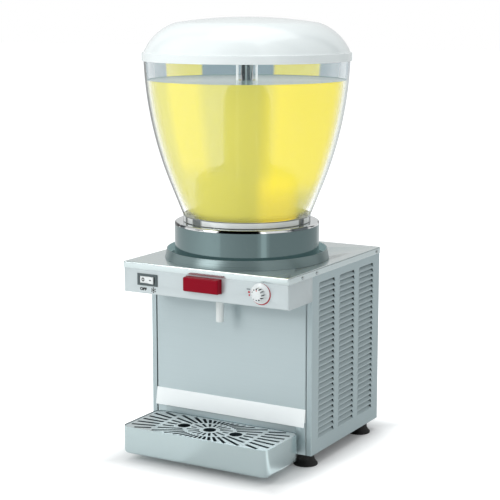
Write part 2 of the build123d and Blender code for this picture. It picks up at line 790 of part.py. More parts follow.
# Lid: a moulded dome with a straight skirt over the bowl's rim
lid_wall = 2.9
lid_skirt_drop = 11.9
lid_band_height = 14.3
lid_fit = 0.4
lid_step = 3.2
lid_shoulder_share = 0.8993
lid_shoulder_rise = 30.3
lid_crease_share = 0.693
lid_crease_rise = 53.6
lid_rise = 63.5
diagonal_share = 0.7
lid_shoulder_radius = lid_shoulder_share * bowl_mouth_radius
lid_shoulder_height = bowl_rim_height + lid_shoulder_rise
lid_crease_radius = lid_crease_share * bowl_mouth_radius
lid_crease_height = bowl_rim_height + lid_crease_rise
lid_height = bowl_rim_height + lid_rise
lid_skirt_radius = bowl_mouth_radius + lid_fit + lid_wall
lid_skirt_z = bowl_rim_height - lid_skirt_drop
lid_band_z = lid_skirt_z + lid_band_height
lid_ledge_radius = bowl_mouth_radius - bowl_wall
with BuildPart() as lid:
    with BuildSketch(upright(0, bowl_y, deck_top)):
        with BuildLine():
            Polyline(
                (lid_skirt_radius - lid_wall, lid_skirt_z),
                (lid_skirt_radius, lid_skirt_z),
                (lid_skirt_radius, lid_band_z),
                (lid_skirt_radius - lid_step, lid_band_z + sheet),
            )
            ThreePointArc(
                (lid_skirt_radius - lid_step, lid_band_z + sheet),
                (lid_shoulder_radius, lid_shoulder_height),
                (lid_crease_radius, lid_crease_height),
            )
            TangentArc((0, lid_height), (lid_crease_radius, lid_crease_height), tangent=(1, 0))
            Line((0, lid_height), (0, lid_height - lid_wall))
            TangentArc(
                (0, lid_height - lid_wall),
                (lid_crease_radius, lid_crease_height - lid_wall),
                tangent=(1, 0),
            )
            ThreePointArc(
                (lid_crease_radius, lid_crease_height - lid_wall),
                (
                    lid_shoulder_radius - diagonal_share * lid_wall,
                    lid_shoulder_height - diagonal_share * lid_wall,
                ),
                (lid_ledge_radius, bowl_rim_height),
            )
            Polyline(
                (lid_ledge_radius, bowl_rim_height),
                (lid_skirt_radius - lid_wall, bowl_rim_height),
                (lid_skirt_radius - lid_wall, lid_skirt_z),
            )
        make_face()
    revolve(axis=bowl_axis)
lid.part.label = "lid"
export_step(lid.part, "parts/lid.step")

# Stirrer shaft, carried by the gear motor below and a bush at the chimney's top
shaft_radius = 4.5
stirrer_hub_depth = 5.0
stirrer_clearance = 3.5
stirrer_cap = 8.0
motor_drop = 58.0
gearbox_width = 64.0
gearbox_depth = 56.0
gearbox_height = 34.0
gearbox_boss_radius = 10.0
gearbox_boss_height = 8.0
shaft_seat_depth = 14.0
motor_strap = 2.0
cover_under_z = cover_z - sheet
strap_z = cover_under_z - motor_drop
gearbox_top_z = strap_z + gearbox_height
boss_top_z = gearbox_top_z + gearbox_boss_height
shaft_foot_z = boss_top_z - shaft_seat_depth
stirrer_cap_z = deck_top + chimney_height + stirrer_clearance
shaft_top_z = stirrer_cap_z + stirrer_hub_depth
with BuildPart() as drive_shaft:
    with BuildSketch(level(shaft_foot_z, bowl_y)):
        Circle(shaft_radius)
    extrude(amount=shaft_top_z - shaft_foot_z)
drive_shaft.part.label = "drive_shaft"
export_step(drive_shaft.part, "parts/drive_shaft.step")

# Plain bush that steadies the shaft at the top of the chimney
bush_height = 12.0
with BuildPart() as shaft_bush:
    with BuildSketch(level(deck_top + chimney_height - bush_height, bowl_y)):
        Circle(chimney_bore - press_gap)
        Circle(shaft_radius + running_gap, mode=Mode.SUBTRACT)
    extrude(amount=bush_height)
shaft_bush.part.label = "shaft_bush"
export_step(shaft_bush.part, "parts/shaft_bush.step")

# Stirrer: a clear tube over the chimney with two blades, arms and scraper legs
stirrer_radius = 19.0
stirrer_wall = 2.0
stirrer_foot_gap = 5.0
blade_reach = 39.0
blade_height = 150.0
blade_thickness = 2.5
arm_height = 6.0
arm_width = 10.0
leg_gap = 3.0
leg_depth = 8.0
leg_inner_radius = evaporator_radius + leg_gap
leg_outer_radius = leg_inner_radius + leg_depth
leg_foot_gap = 12.0
stirrer_foot_z = deck_top + evaporator_height + stirrer_foot_gap
with BuildPart() as stirrer:
    with BuildSketch(level(stirrer_foot_z, bowl_y)):
        Circle(stirrer_radius)
        Rectangle(2 * leg_outer_radius, arm_width)
    extrude(amount=arm_height)
    with BuildSketch(level(stirrer_foot_z + arm_height, bowl_y)):
        Circle(stirrer_radius)
        Rectangle(2 * blade_reach, blade_thickness)
    extrude(amount=blade_height)
    with BuildSketch(level(stirrer_foot_z + arm_height + blade_height, bowl_y)):
        Circle(stirrer_radius)
    extrude(amount=stirrer_cap_z + stirrer_cap - stirrer_foot_z - arm_height - blade_height)
    with BuildSketch(level(deck_top + leg_foot_gap, bowl_y)):
        with Locations(
            (-(leg_inner_radius + leg_outer_radius) / 2, 0),
            ((leg_inner_radius + leg_outer_radius) / 2, 0),
        ):
            Rectangle(leg_outer_radius - leg_inner_radius, arm_width)
    extrude(amount=stirrer_foot_z - deck_top - leg_foot_gap)
    with BuildSketch(level(stirrer_foot_z - overrun, bowl_y)):
        Circle(stirrer_radius - stirrer_wall)
    extrude(amount=stirrer_cap_z - stirrer_foot_z + overrun, mode=Mode.SUBTRACT)
    with BuildSketch(level(stirrer_cap_z, bowl_y)):
        Circle(shaft_radius + running_gap)
    extrude(amount=stirrer_hub_depth + running_gap, mode=Mode.SUBTRACT)
stirrer.part.label = "stirrer"
export_step(stirrer.part, "parts/stirrer.step")

# Strap under the cover that carries the gear motor
strap_width = 70.0
strap_flange = 22.0
motor_radius = 26.0
motor_length = 52.0
strap_reach = cover_hole_radius + 2 * bend_radius
with BuildPart() as motor_bracket:
    with BuildSketch(upright(0, bowl_y)):
        with BuildLine():
            FilletPolyline(
                (-strap_reach - strap_flange, cover_under_z),
                (-strap_reach, cover_under_z),
                (-strap_reach, strap_z),
                (strap_reach, strap_z),
                (strap_reach, cover_under_z),
                (strap_reach + strap_flange, cover_under_z),
                radius=bend_radius,
            )
            offset(amount=motor_strap, side=Side.RIGHT)
        make_face()
    extrude(amount=strap_width / 2, both=True)
    with BuildSketch(level(strap_z - motor_strap - overrun, bowl_y)):
        Circle(motor_radius + face_gap)
    extrude(amount=motor_strap + 2 * overrun, mode=Mode.SUBTRACT)
motor_bracket.part.label = "motor_bracket"
export_step(motor_bracket.part, "parts/motor_bracket.step")

# Gear motor: gearbox on the strap, motor can below it, shaft seat in its boss
with BuildPart() as gear_motor:
    with BuildSketch(level(strap_z, bowl_y)):
        RectangleRounded(gearbox_width, gearbox_depth, 2 * bend_radius)
    extrude(amount=gearbox_top_z - strap_z)
    with BuildSketch(level(gearbox_top_z, bowl_y)):
        Circle(gearbox_boss_radius)
    extrude(amount=gearbox_boss_height)
    with BuildSketch(level(strap_z - motor_length, bowl_y)):
        Circle(motor_radius)
    extrude(amount=motor_length)
    with BuildSketch(level(shaft_foot_z - running_gap, bowl_y)):
        Circle(shaft_radius + running_gap)
    extrude(amount=shaft_seat_depth + overrun, mode=Mode.SUBTRACT)
gear_motor.part.label = "gear_motor"
export_step(gear_motor.part, "parts/gear_motor.step")

# Splash plate: a folded strip whose front leg leans out over the tray
splash_width = 307.0
splash_top = 82.4
splash_drop = 31.0
splash_reach = 7.0
splash_leg = 24.0
with BuildPart() as splash_plate:
    with BuildSketch(sideways(0, panel_y, base_z + splash_top)):
        with BuildLine():
            Polyline(
                (0, -splash_leg),
                (0, 0),
                (-sheet, 0),
                (-splash_reach, -splash_drop),
                (-splash_reach + sheet, -splash_drop),
                (-sheet, -bend_radius),
                (-sheet, -splash_leg),
                close=True,
            )
        make_face()
    extrude(amount=splash_width / 2, both=True)
splash_plate.part.label = "splash_plate"
export_step(splash_plate.part, "parts/splash_plate.step")

# Hanger on the front panel: an upturned hook and a lower rest for the tray
hanger_width = 267.0
hanger_foot = 8.0
hanger_top = 49.0
hook_height = 14.0
hook_lift = 6.0
hook_reach = 6.5
lug_width = 40.0
lug_sheet = 1.2
lug_spacing = 180.0
hanger_low_z = base_z + hanger_foot
hook_z = hanger_low_z + hook_height
tray_back_y = panel_y - tray_gap
with BuildPart() as tray_hanger:
    with BuildSketch(sideways(0, panel_y, hanger_low_z)):
        with BuildLine():
            Polyline(
                (0, 0),
                (0, hanger_top - hanger_foot),
                (-sheet, hanger_top - hanger_foot),
                (-sheet, hook_height),
                (-hook_reach + sheet, hook_height),
                (-hook_reach + sheet, hook_height + hook_lift),
                (-hook_reach, hook_height + hook_lift),
                (-hook_reach, hook_height - sheet),
                (-sheet, hook_height - sheet),
                (-sheet, sheet),
                (-tray_gap + face_gap, sheet),
                (-tray_gap + face_gap, 0),
                close=True,
            )
        make_face()
    extrude(amount=hanger_width / 2, both=True)
tray_hanger.part.label = "tray_hanger"
export_step(tray_hanger.part, "parts/tray_hanger.step")

# Drip tray: a drawn steel trough with a ledge for the grille and two hanging lugs
ledge_width = 5.0
ledge_drop = 2.6
tray_bottom_z = base_z - tray_drop
tray_top_z = tray_bottom_z + tray_height
tray_mid_y = tray_back_y - tray_depth / 2
grille_thickness = 1.6
lug_leg = 5.0
lug_leg_y = panel_y - hook_reach + sheet + face_gap
lug_shelf_z = hook_z + hook_lift + face_gap
with BuildPart() as drip_tray:
    with BuildSketch(level(tray_bottom_z, tray_mid_y)):
        RectangleRounded(tray_width, tray_depth, tray_corner)
    extrude(amount=tray_height)
    fillet(drip_tray.faces().sort_by(Axis.Z)[0].edges(), radius=tray_foot_round)
    offset(amount=-tray_wall, openings=drip_tray.faces().sort_by(Axis.Z)[-1])
    with BuildSketch(level(tray_top_z - ledge_drop - tray_wall, tray_mid_y)):
        RectangleRounded(tray_width - tray_wall, tray_depth - tray_wall, tray_corner - tray_wall / 2)
        RectangleRounded(
            tray_width - 2 * (tray_wall + ledge_width),
            tray_depth - 2 * (tray_wall + ledge_width),
            tray_corner - tray_wall - ledge_width,
            mode=Mode.SUBTRACT,
        )
    extrude(amount=tray_wall)
    with BuildSketch(sideways(-lug_spacing / 2), sideways(lug_spacing / 2)):
        with BuildLine():
            Polyline(
                (tray_back_y - tray_wall / 2, lug_shelf_z),
                (lug_leg_y, lug_shelf_z),
                (lug_leg_y, lug_shelf_z - lug_leg),
                (lug_leg_y + lug_sheet, lug_shelf_z - lug_leg),
                (lug_leg_y + lug_sheet, lug_shelf_z + lug_sheet),
                (tray_back_y - tray_wall / 2, lug_shelf_z + lug_sheet),
                close=True,
            )
        make_face()
    extrude(amount=lug_width / 2, both=True)
drip_tray.part.label = "drip_tray"
export_step(drip_tray.part, "parts/drip_tray.step")

# Drip grille: a drop-in plate with three drain holes and slots that run outwards
drain_radius = 11.5
drain_pitch = 53.0
inner_slots = 18
inner_slot_width = 4.6
inner_start = 18.5
inner_half_width = 43.0
inner_half_depth = 32.5
middle_slots = 36
middle_slot_width = 6.0
middle_start_width = 51.0
middle_start_depth = 37.0
middle_half_width = 88.0
outer_slots = 48
outer_slot_width = 6.4
outer_start_width = 96.0
outer_half_width = 139.0
slot_half_depth = 51.5
shortest_slot = 7.0
drain_margin = 3.5
slot_share = 0.66


def ellipse_reach(angle, half_width, half_depth):
    """Distance from the middle to an ellipse, in a direction."""
    return 1 / hypot(cos(radians(angle)) / half_width, sin(radians(angle)) / half_depth)


def box_reach(angle, half_width, half_depth):
    """Distance from the middle to the edge of a box, in a direction."""
    across = abs(cos(radians(angle))) / half_width
    along = abs(sin(radians(angle))) / half_depth
    return 1 / max(across, along)


def slot_corners(angle, start, end, width, count):
    """Corners of a slot that widens outwards as far as its neighbours allow."""
    spread = slot_share * tan(radians(360 / count))
    near = min(width, start * spread) / 2
    far = min(width, end * spread) / 2
    ahead = Vector(cos(radians(angle)), sin(radians(angle)))
    beside = Vector(-sin(radians(angle)), cos(radians(angle)))
    return [
        ahead * start - beside * near,
        ahead * end - beside * far,
        ahead * end + beside * far,
        ahead * start + beside * near,
    ]


grille_slots = []
for i in range(inner_slots):
    slot_angle = i * 360 / inner_slots
    first = inner_start
    last = ellipse_reach(slot_angle, inner_half_width, inner_half_depth)
    if abs(sin(radians(slot_angle))) * drain_pitch < drain_radius:
        first = drain_radius * 2 + drain_margin
        last = drain_pitch - drain_radius - drain_margin
    grille_slots.append((slot_angle, first, last, inner_slot_width, inner_slots))
for i in range(middle_slots):
    slot_angle = i * 360 / middle_slots
    first = ellipse_reach(slot_angle, middle_start_width, middle_start_depth)
    last = box_reach(slot_angle, middle_half_width, slot_half_depth)
    if abs(sin(radians(slot_angle))) * drain_pitch < drain_radius:
        first = drain_pitch + drain_radius + drain_margin
    grille_slots.append((slot_angle, first, last, middle_slot_width, middle_slots))
for i in range(outer_slots):
    slot_angle = i * 360 / outer_slots
    first = outer_start_width / max(abs(cos(radians(slot_angle))), slot_share / outer_slots)
    last = box_reach(slot_angle, outer_half_width, slot_half_depth)
    if last - first > shortest_slot:
        grille_slots.append((slot_angle, first, last, outer_slot_width, outer_slots))

grille_inset = tray_wall + face_gap
with BuildPart() as drip_grille:
    with BuildSketch(level(tray_top_z - ledge_drop, tray_mid_y)):
        RectangleRounded(
            tray_width - 2 * grille_inset, tray_depth - 2 * grille_inset, tray_corner - grille_inset
        )
        with GridLocations(drain_pitch, 0, 3, 1):
            Circle(drain_radius, mode=Mode.SUBTRACT)
        for slot_angle, first, last, width, count in grille_slots:
            Polygon(
                *slot_corners(slot_angle, first, last, width, count),
                align=None,
                mode=Mode.SUBTRACT,
            )
    extrude(amount=grille_thickness)
drip_grille.part.label = "drip_grille"
export_step(drip_grille.part, "parts/drip_grille.step")

# Power switch: a bezel and box with a cavity for the rocker
bezel_proud = 1.8
bezel_round = 1.2
switch_box_depth = 22.0
rocker_half_length = 14.9
rocker_height = 12.0
rocker_pivot_depth = 3.0
rocker_cavity_depth = 9.5
rocker_pin_radius = 1.2
rocker_pin_reach = 1.2
rocker_tilt = 8.0
rocker_web = 2.0
rocker_belly = 5.0
rocker_side_gap = 0.9
cavity_width = 2 * (rocker_half_length + rocker_side_gap)
cavity_height = rocker_height + 2 * face_gap
bezel_y = fascia_y - bezel_proud
pivot_y = bezel_y + rocker_pivot_depth
with BuildPart() as switch_body:
    with BuildSketch(upright(switch_x, fascia_y, switch_z)):
        Rectangle(switch_width, switch_height)
    extrude(amount=bezel_proud)
    fillet(switch_body.faces().sort_by(Axis.Y)[0].edges(), radius=bezel_round)
    with BuildSketch(upright(switch_x, fascia_y, switch_z)):
        Rectangle(switch_box_width, switch_box_height)
    extrude(amount=-switch_box_depth)
    with BuildSketch(upright(switch_x, bezel_y - overrun, switch_z)):
        Rectangle(cavity_width, cavity_height)
    extrude(amount=-(rocker_cavity_depth + overrun), mode=Mode.SUBTRACT)
    with BuildSketch(level(switch_z, pivot_y, switch_x)):
        Circle(rocker_pin_radius + running_gap)
    extrude(
        amount=cavity_height / 2 + rocker_pin_reach + face_gap, both=True, mode=Mode.SUBTRACT
    )
switch_body.part.label = "switch_body"
export_step(switch_body.part, "parts/switch_body.step")

# Rocker with a face folded in a shallow V, resting in its off position
rocker_plane = Plane(
    origin=(switch_x, pivot_y, switch_z),
    x_dir=(cos(radians(rocker_tilt)), -sin(radians(rocker_tilt)), 0),
    z_dir=(0, 0, -1),
)
rocker_tip = rocker_web + rocker_half_length * tan(radians(rocker_tilt))
with BuildPart() as rocker:
    with BuildSketch(rocker_plane):
        with BuildLine():
            Polyline(
                (-rocker_half_length + rocker_pin_radius, 0),
                (-rocker_half_length, rocker_tip),
                (0, rocker_web),
                (rocker_half_length, rocker_tip),
                (rocker_half_length - rocker_pin_radius, 0),
            )
            ThreePointArc(
                (rocker_half_length - rocker_pin_radius, 0),
                (0, -rocker_belly),
                (-rocker_half_length + rocker_pin_radius, 0),
            )
        make_face()
    extrude(amount=rocker_height / 2, both=True)
    with BuildSketch(rocker_plane):
        Circle(rocker_pin_radius)
    extrude(amount=cavity_height / 2 + rocker_pin_reach, both=True)
rocker.part.label = "rocker"
export_step(rocker.part, "parts/rocker.step")

# Thermostat behind the fascia, its shaft and the knob on it
thermostat_size = 34.0
thermostat_depth = 28.0
thermostat_neck = 2.0
knob_shaft_radius = 3.0
knob_shaft_depth = 16.0
knob_shaft_reach = 11.5
with BuildPart() as thermostat_body:
    with BuildSketch(upright(knob_x, fascia_inner_y, knob_z)):
        RectangleRounded(thermostat_size, thermostat_size, bend_radius)
    extrude(amount=-thermostat_depth)
    with BuildSketch(upright(knob_x, fascia_inner_y, knob_z)):
        Circle(thermostat_neck_radius)
    extrude(amount=sheet + thermostat_neck)
    with BuildSketch(upright(knob_x, fascia_y + knob_shaft_depth, knob_z)):
        Circle(knob_shaft_radius + running_gap)
    extrude(amount=knob_shaft_depth + thermostat_neck + overrun, mode=Mode.SUBTRACT)
thermostat_body.part.label = "thermostat_body"
export_step(thermostat_body.part, "parts/thermostat_body.step")

with BuildPart() as knob_shaft:
    with BuildSketch(upright(knob_x, fascia_y + knob_shaft_depth - running_gap, knob_z)):
        Circle(knob_shaft_radius)
    extrude(amount=knob_shaft_depth - running_gap + knob_shaft_reach)
knob_shaft.part.label = "knob_shaft"
export_step(knob_shaft.part, "parts/knob_shaft.step")

knob_lift = 0.4
knob_skirt_radius = 17.8
knob_skirt_height = 2.2
knob_cone_height = 5.0
knob_grip_radius = 11.0
knob_length = 14.8
knob_edge = 0.8
knob_recess_radius = 7.0
knob_grooves = 12
knob_groove_width = 2.4
knob_groove_depth = 2.6
with BuildPart() as thermostat_knob:
    with BuildSketch(outward(knob_x, fascia_y, knob_z)):
        with BuildLine():
            Polyline(
                (knob_recess_radius, knob_lift),
                (knob_skirt_radius, knob_lift),
                (knob_skirt_radius, knob_skirt_height),
                (knob_grip_radius, knob_cone_height),
                (knob_grip_radius, knob_length - knob_edge),
                (knob_grip_radius - knob_edge, knob_length),
                (0, knob_length),
                (0, knob_shaft_reach + running_gap),
                (knob_shaft_radius + press_gap, knob_shaft_reach + running_gap),
                (knob_shaft_radius + press_gap, thermostat_neck + face_gap),
                (knob_recess_radius, thermostat_neck + face_gap),
                close=True,
            )
        make_face()
    revolve(axis=Axis((knob_x, 0, knob_z), (0, 1, 0)))
    with BuildSketch(upright(knob_x, fascia_y - knob_cone_height, knob_z)):
        with PolarLocations(knob_grip_radius, knob_grooves):
            Rectangle(2 * knob_groove_depth, knob_groove_width)
    extrude(amount=knob_length, mode=Mode.SUBTRACT)
thermostat_knob.part.label = "thermostat_knob"
export_step(thermostat_knob.part, "parts/thermostat_knob.step")

# Cable gland in the back panel, with its nut inside
gland_bore = 4.0
gland_flange_radius = 12.0
gland_flange_height = 4.0
gland_dome_radius = 9.0
gland_tip_radius = 6.4
gland_nut_radius = 11.0
gland_nut_height = 5.0
gland_tail = 3.0
gland_z = base_z + gland_height
gland_inner_y = back_panel_y - sheet
with BuildPart() as cable_gland:
    with BuildSketch(outward(-gland_offset, back_y + gland_projection, gland_z)):
        with BuildLine():
            gland_depth = back_y + gland_projection - gland_inner_y
            flange_y = back_y + gland_projection - back_panel_y
            Polyline(
                (gland_bore, 0),
                (gland_tip_radius, 0),
                (gland_dome_radius, flange_y - gland_flange_height),
                (gland_flange_radius, flange_y - gland_flange_height),
                (gland_flange_radius, flange_y),
                (gland_neck_radius, flange_y),
                (gland_neck_radius, gland_depth),
                (gland_nut_radius, gland_depth),
                (gland_nut_radius, gland_depth + gland_nut_height),
                (gland_neck_radius, gland_depth + gland_nut_height),
                (gland_neck_radius, gland_depth + gland_nut_height + gland_tail),
                (gland_bore, gland_depth + gland_nut_height + gland_tail),
                close=True,
            )
        make_face()
    revolve(axis=Axis((-gland_offset, 0, gland_z), (0, 1, 0)))
cable_gland.part.label = "cable_gland"
export_step(cable_gland.part, "parts/cable_gland.step")

# Terminal block on the pan beside the gland
block_length = 46.0
block_depth = 20.0
block_height = 18.0
block_ways = 5
block_way_pitch = 8.5
block_screw_radius = 2.6
block_setback = 27.0
with BuildPart() as terminal_block:
    with BuildSketch(level(pan_floor_z, back_y - block_setback, -gland_offset)):
        Rectangle(block_length, block_depth)
    extrude(amount=block_height)
    with BuildSketch(level(pan_floor_z + block_height, back_y - block_setback, -gland_offset)):
        with GridLocations(block_way_pitch, block_depth / 2, block_ways, 2):
            Circle(block_screw_radius)
    extrude(amount=-block_height / 3, mode=Mode.SUBTRACT)
terminal_block.part.label = "terminal_block"
export_step(terminal_block.part, "parts/terminal_block.step")

# Compressor: a drawn shell with a weld seam on a foot plate
compressor_margin = 12.0
compressor_setback = 7.0
compressor_radius = 60.0
compressor_end_radius = 40.0
compressor_length = 148.0
compressor_dome = 24.0
seam_proud = 1.6
seam_height = 6.0
foot_plate_width = 136.0
foot_plate_depth = 112.0
foot_plate_thickness = 2.5
mount_radius = 9.0
mount_height = 9.5
mount_inset = 11.0
mount_bolt_radius = 5.0
mount_bolt_height = 4.0
stub_radius = 4.5
stub_reach = 12.0
discharge_stub = (30.0, 24.0)
suction_stub_x = -26.0
compressor_x = compressor_margin + foot_plate_width / 2 + sheet - side_x
compressor_y = (panel_y + back_y) / 2 + compressor_setback
suction_stub_y = bowl_y + suction_offset - compressor_y
plate_z = pan_floor_z + mount_height
shell_z = plate_z + foot_plate_thickness
stub_z = shell_z + compressor_length + stub_reach
with BuildPart() as compressor:
    with BuildSketch(level(plate_z, compressor_y, compressor_x)):
        RectangleRounded(foot_plate_width, foot_plate_depth, mount_radius)
    extrude(amount=foot_plate_thickness)
    with BuildSketch(upright(compressor_x, compressor_y, shell_z)):
        with BuildLine():
            seam_low = (compressor_length - seam_height) / 2
            seam_high = (compressor_length + seam_height) / 2
            Polyline((0, 0), (compressor_end_radius, 0))
            ThreePointArc(
                (compressor_end_radius, 0),
                (compressor_radius - compressor_dome / 4, compressor_dome / 3),
                (compressor_radius, compressor_dome),
            )
            Polyline(
                (compressor_radius, compressor_dome),
                (compressor_radius, seam_low),
                (compressor_radius + seam_proud, seam_low),
                (compressor_radius + seam_proud, seam_high),
                (compressor_radius, seam_high),
                (compressor_radius, compressor_length - compressor_dome),
            )
            ThreePointArc(
                (compressor_radius, compressor_length - compressor_dome),
                (compressor_radius - compressor_dome / 4, compressor_length - compressor_dome / 3),
                (compressor_end_radius, compressor_length),
            )
            Polyline((compressor_end_radius, compressor_length), (0, compressor_length), (0, 0))
        make_face()
    revolve(axis=Axis((compressor_x, compressor_y, 0), (0, 0, 1)))
    with BuildSketch(level(stub_z, compressor_y, compressor_x)):
        with Locations(discharge_stub, (suction_stub_x, suction_stub_y)):
            Circle(stub_radius)
    extrude(amount=-stub_reach)
compressor.part.label = "compressor"
export_step(compressor.part, "parts/compressor.step")

# Rubber mounts under the foot plate, with the bolt heads that hold it
mount_span_x = foot_plate_width - 2 * mount_inset
mount_span_y = foot_plate_depth - 2 * mount_inset
with BuildPart() as compressor_mounts:
    with BuildSketch(level(pan_floor_z, compressor_y, compressor_x)):
        with GridLocations(mount_span_x, mount_span_y, 2, 2):
            Circle(mount_radius)
    extrude(amount=mount_height)
    with BuildSketch(level(shell_z, compressor_y, compressor_x)):
        with GridLocations(mount_span_x, mount_span_y, 2, 2):
            RegularPolygon(mount_bolt_radius, 6)
    extrude(amount=mount_bolt_height)
compressor_mounts.part.label = "compressor_mounts"
export_step(compressor_mounts.part, "parts/compressor_mounts.step")

# Condenser: a finned block between two end plates, behind the right-hand louvres
condenser_side_gap = 17.0
condenser_front_gap = 32.85
condenser_back_gap = 28.85
condenser_width = 42.0
condenser_height = 200.0
end_plate = 2.0
end_plate_overhang = 4.0
fin_count = 20
fin_groove_share = 0.5
fin_groove_depth = 9.0
end_plate_y = back_y - condenser_back_gap
condenser_length = body_depth - condenser_front_gap - condenser_back_gap - 2 * end_plate
condenser_x = side_x - condenser_side_gap - condenser_width / 2
condenser_y = end_plate_y - end_plate - condenser_length / 2
fin_pitch = condenser_length / (fin_count + 1)
fin_groove = fin_groove_share * fin_pitch
with BuildPart() as condenser:
    with BuildSketch(level(pan_floor_z, condenser_y, condenser_x)):
        Rectangle(condenser_width, condenser_length)
        for side in (-1, 1):
            with Locations((side * (condenser_width - fin_groove_depth) / 2, 0)):
                with GridLocations(0, fin_pitch, 1, fin_count):
                    Rectangle(fin_groove_depth, fin_groove, mode=Mode.SUBTRACT)
    extrude(amount=condenser_height)
    with BuildSketch(level(pan_floor_z, condenser_y, condenser_x)):
        with GridLocations(0, condenser_length + end_plate, 1, 2):
            Rectangle(condenser_width + end_plate_overhang, end_plate)
    extrude(amount=condenser_height + end_plate_overhang)
condenser.part.label = "condenser"
export_step(condenser.part, "parts/condenser.step")

# Baffle above the condenser, so that the fan draws air only through the fins
baffle_foot = 20.0
baffle_top_gap = 5.0
baffle_z = pan_floor_z + condenser_height + end_plate_overhang
baffle_x = condenser_x + (condenser_width + end_plate_overhang) / 2
with BuildPart() as condenser_baffle:
    with BuildSketch(upright(0, condenser_y)):
        with BuildLine():
            FilletPolyline(
                (baffle_x - baffle_foot, baffle_z),
                (baffle_x, baffle_z),
                (baffle_x, cover_z - sheet - baffle_top_gap),
                radius=bend_radius,
            )
            offset(amount=sheet, side=Side.LEFT)
        make_face()
    extrude(amount=condenser_length / 2 + end_plate, both=True)
condenser_baffle.part.label = "condenser_baffle"
export_step(condenser_baffle.part, "parts/condenser_baffle.step")

# Fan shroud: a shallow box on the condenser's inner face, with a round mouth
shroud_sheet = 1.5
shroud_depth = 11.0
shroud_ring_depth = 10.0
fan_margin = 18.0
fan_tip_gap = 4.0
fan_radius = condenser_height / 2 - fan_margin
fan_hub_radius = 20.0
fan_blades = 5
fan_blade_pitch = 28.0
fan_blade_chord = 46.0
fan_blade_thickness = 1.8
fan_hub_length = 16.0
shroud_mouth = fan_radius + fan_tip_gap
fan_z = pan_floor_z + condenser_height / 2 + end_plate_overhang
shroud_x = condenser_x - (condenser_width + end_plate_overhang) / 2
shroud_plate_x = shroud_x - shroud_depth
with BuildPart() as fan_shroud:
    with BuildSketch(sideways(shroud_x, condenser_y, pan_floor_z + condenser_height / 2)):
        Rectangle(condenser_length, condenser_height)
        Rectangle(
            condenser_length - 2 * shroud_sheet,
            condenser_height - 2 * shroud_sheet,
            mode=Mode.SUBTRACT,
        )
    extrude(amount=-shroud_depth)
    with BuildSketch(sideways(shroud_plate_x, condenser_y, pan_floor_z + condenser_height / 2)):
        Rectangle(condenser_length, condenser_height)
    extrude(amount=shroud_sheet)
    with BuildSketch(sideways(shroud_plate_x, condenser_y, fan_z)):
        Circle(shroud_mouth + shroud_sheet)
    extrude(amount=-shroud_ring_depth)
    with BuildSketch(sideways(shroud_plate_x, condenser_y, fan_z)):
        Circle(shroud_mouth)
    extrude(amount=shroud_sheet + shroud_ring_depth + overrun, both=True, mode=Mode.SUBTRACT)
fan_shroud.part.label = "fan_shroud"
export_step(fan_shroud.part, "parts/fan_shroud.step")

# Fan: pitched blades on a hub, turning in the shroud's mouth
fan_motor_shaft = 3.0
fan_x = shroud_plate_x - shroud_ring_depth / 2
fan_angles = [i * 360 / fan_blades for i in range(fan_blades)]
with BuildPart() as fan:
    blade_planes = []
    for angle in fan_angles:
        across = Vector(0, -sin(radians(angle)), cos(radians(angle)))
        lean = Vector(1, 0, 0) * cos(radians(fan_blade_pitch)) + across * sin(radians(fan_blade_pitch))
        blade_planes.append(
            Plane(
                origin=(fan_x, condenser_y, fan_z),
                x_dir=(0, cos(radians(angle)), sin(radians(angle))),
                z_dir=lean,
            )
        )
    with BuildSketch(*blade_planes):
        Polygon(
            (fan_hub_radius / 2, -fan_blade_chord / 4),
            (fan_radius * 2 / 3, -fan_blade_chord / 2),
            (fan_radius - fan_hub_radius / 2, -fan_blade_chord / 2),
            (fan_radius - fan_hub_radius / 4, fan_blade_chord / 4),
            (fan_radius * 2 / 3, fan_blade_chord / 2),
            (fan_hub_radius / 2, fan_blade_chord / 4),
            align=None,
        )
    extrude(amount=fan_blade_thickness / 2, both=True)
    with BuildSketch(sideways(fan_x, condenser_y, fan_z)):
        Circle(fan_hub_radius)
    extrude(amount=fan_hub_length / 2, both=True)
    with BuildSketch(sideways(fan_x, condenser_y, fan_z)):
        Circle(fan_motor_shaft + running_gap)
    extrude(amount=fan_hub_length, both=True, mode=Mode.SUBTRACT)
fan.part.label = "fan"
export_step(fan.part, "parts/fan.step")

# Fan motor with its shaft, held by a folded post on the pan
fan_motor_radius = 30.0
fan_motor_length = 42.0
fan_motor_gap = 5.0
post_width = 44.0
post_sheet = 2.0
post_foot = 20.0
motor_face_x = fan_x - fan_hub_length / 2 - fan_motor_gap
post_x = motor_face_x - fan_motor_length
with BuildPart() as fan_motor:
    with BuildSketch(sideways(post_x, condenser_y, fan_z)):
        Circle(fan_motor_radius)
    extrude(amount=fan_motor_length)
    fillet(fan_motor.faces().sort_by(Axis.X)[-1].edges(), radius=mount_bolt_height)
    with BuildSketch(sideways(motor_face_x, condenser_y, fan_z)):
        Circle(fan_motor_shaft)
    extrude(amount=fan_motor_gap + fan_hub_length)
fan_motor.part.label = "fan_motor"
export_step(fan_motor.part, "parts/fan_motor.step")

with BuildPart() as fan_motor_bracket:
    with BuildSketch(upright(post_x, condenser_y)):
        with BuildLine():
            FilletPolyline(
                (-post_foot, pan_floor_z),
                (0, pan_floor_z),
                (0, fan_z + fan_motor_radius),
                radius=bend_radius,
            )
            offset(amount=post_sheet, side=Side.LEFT)
        make_face()
    extrude(amount=post_width / 2, both=True)
fan_motor_bracket.part.label = "fan_motor_bracket"
export_step(fan_motor_bracket.part, "parts/fan_motor_bracket.step")

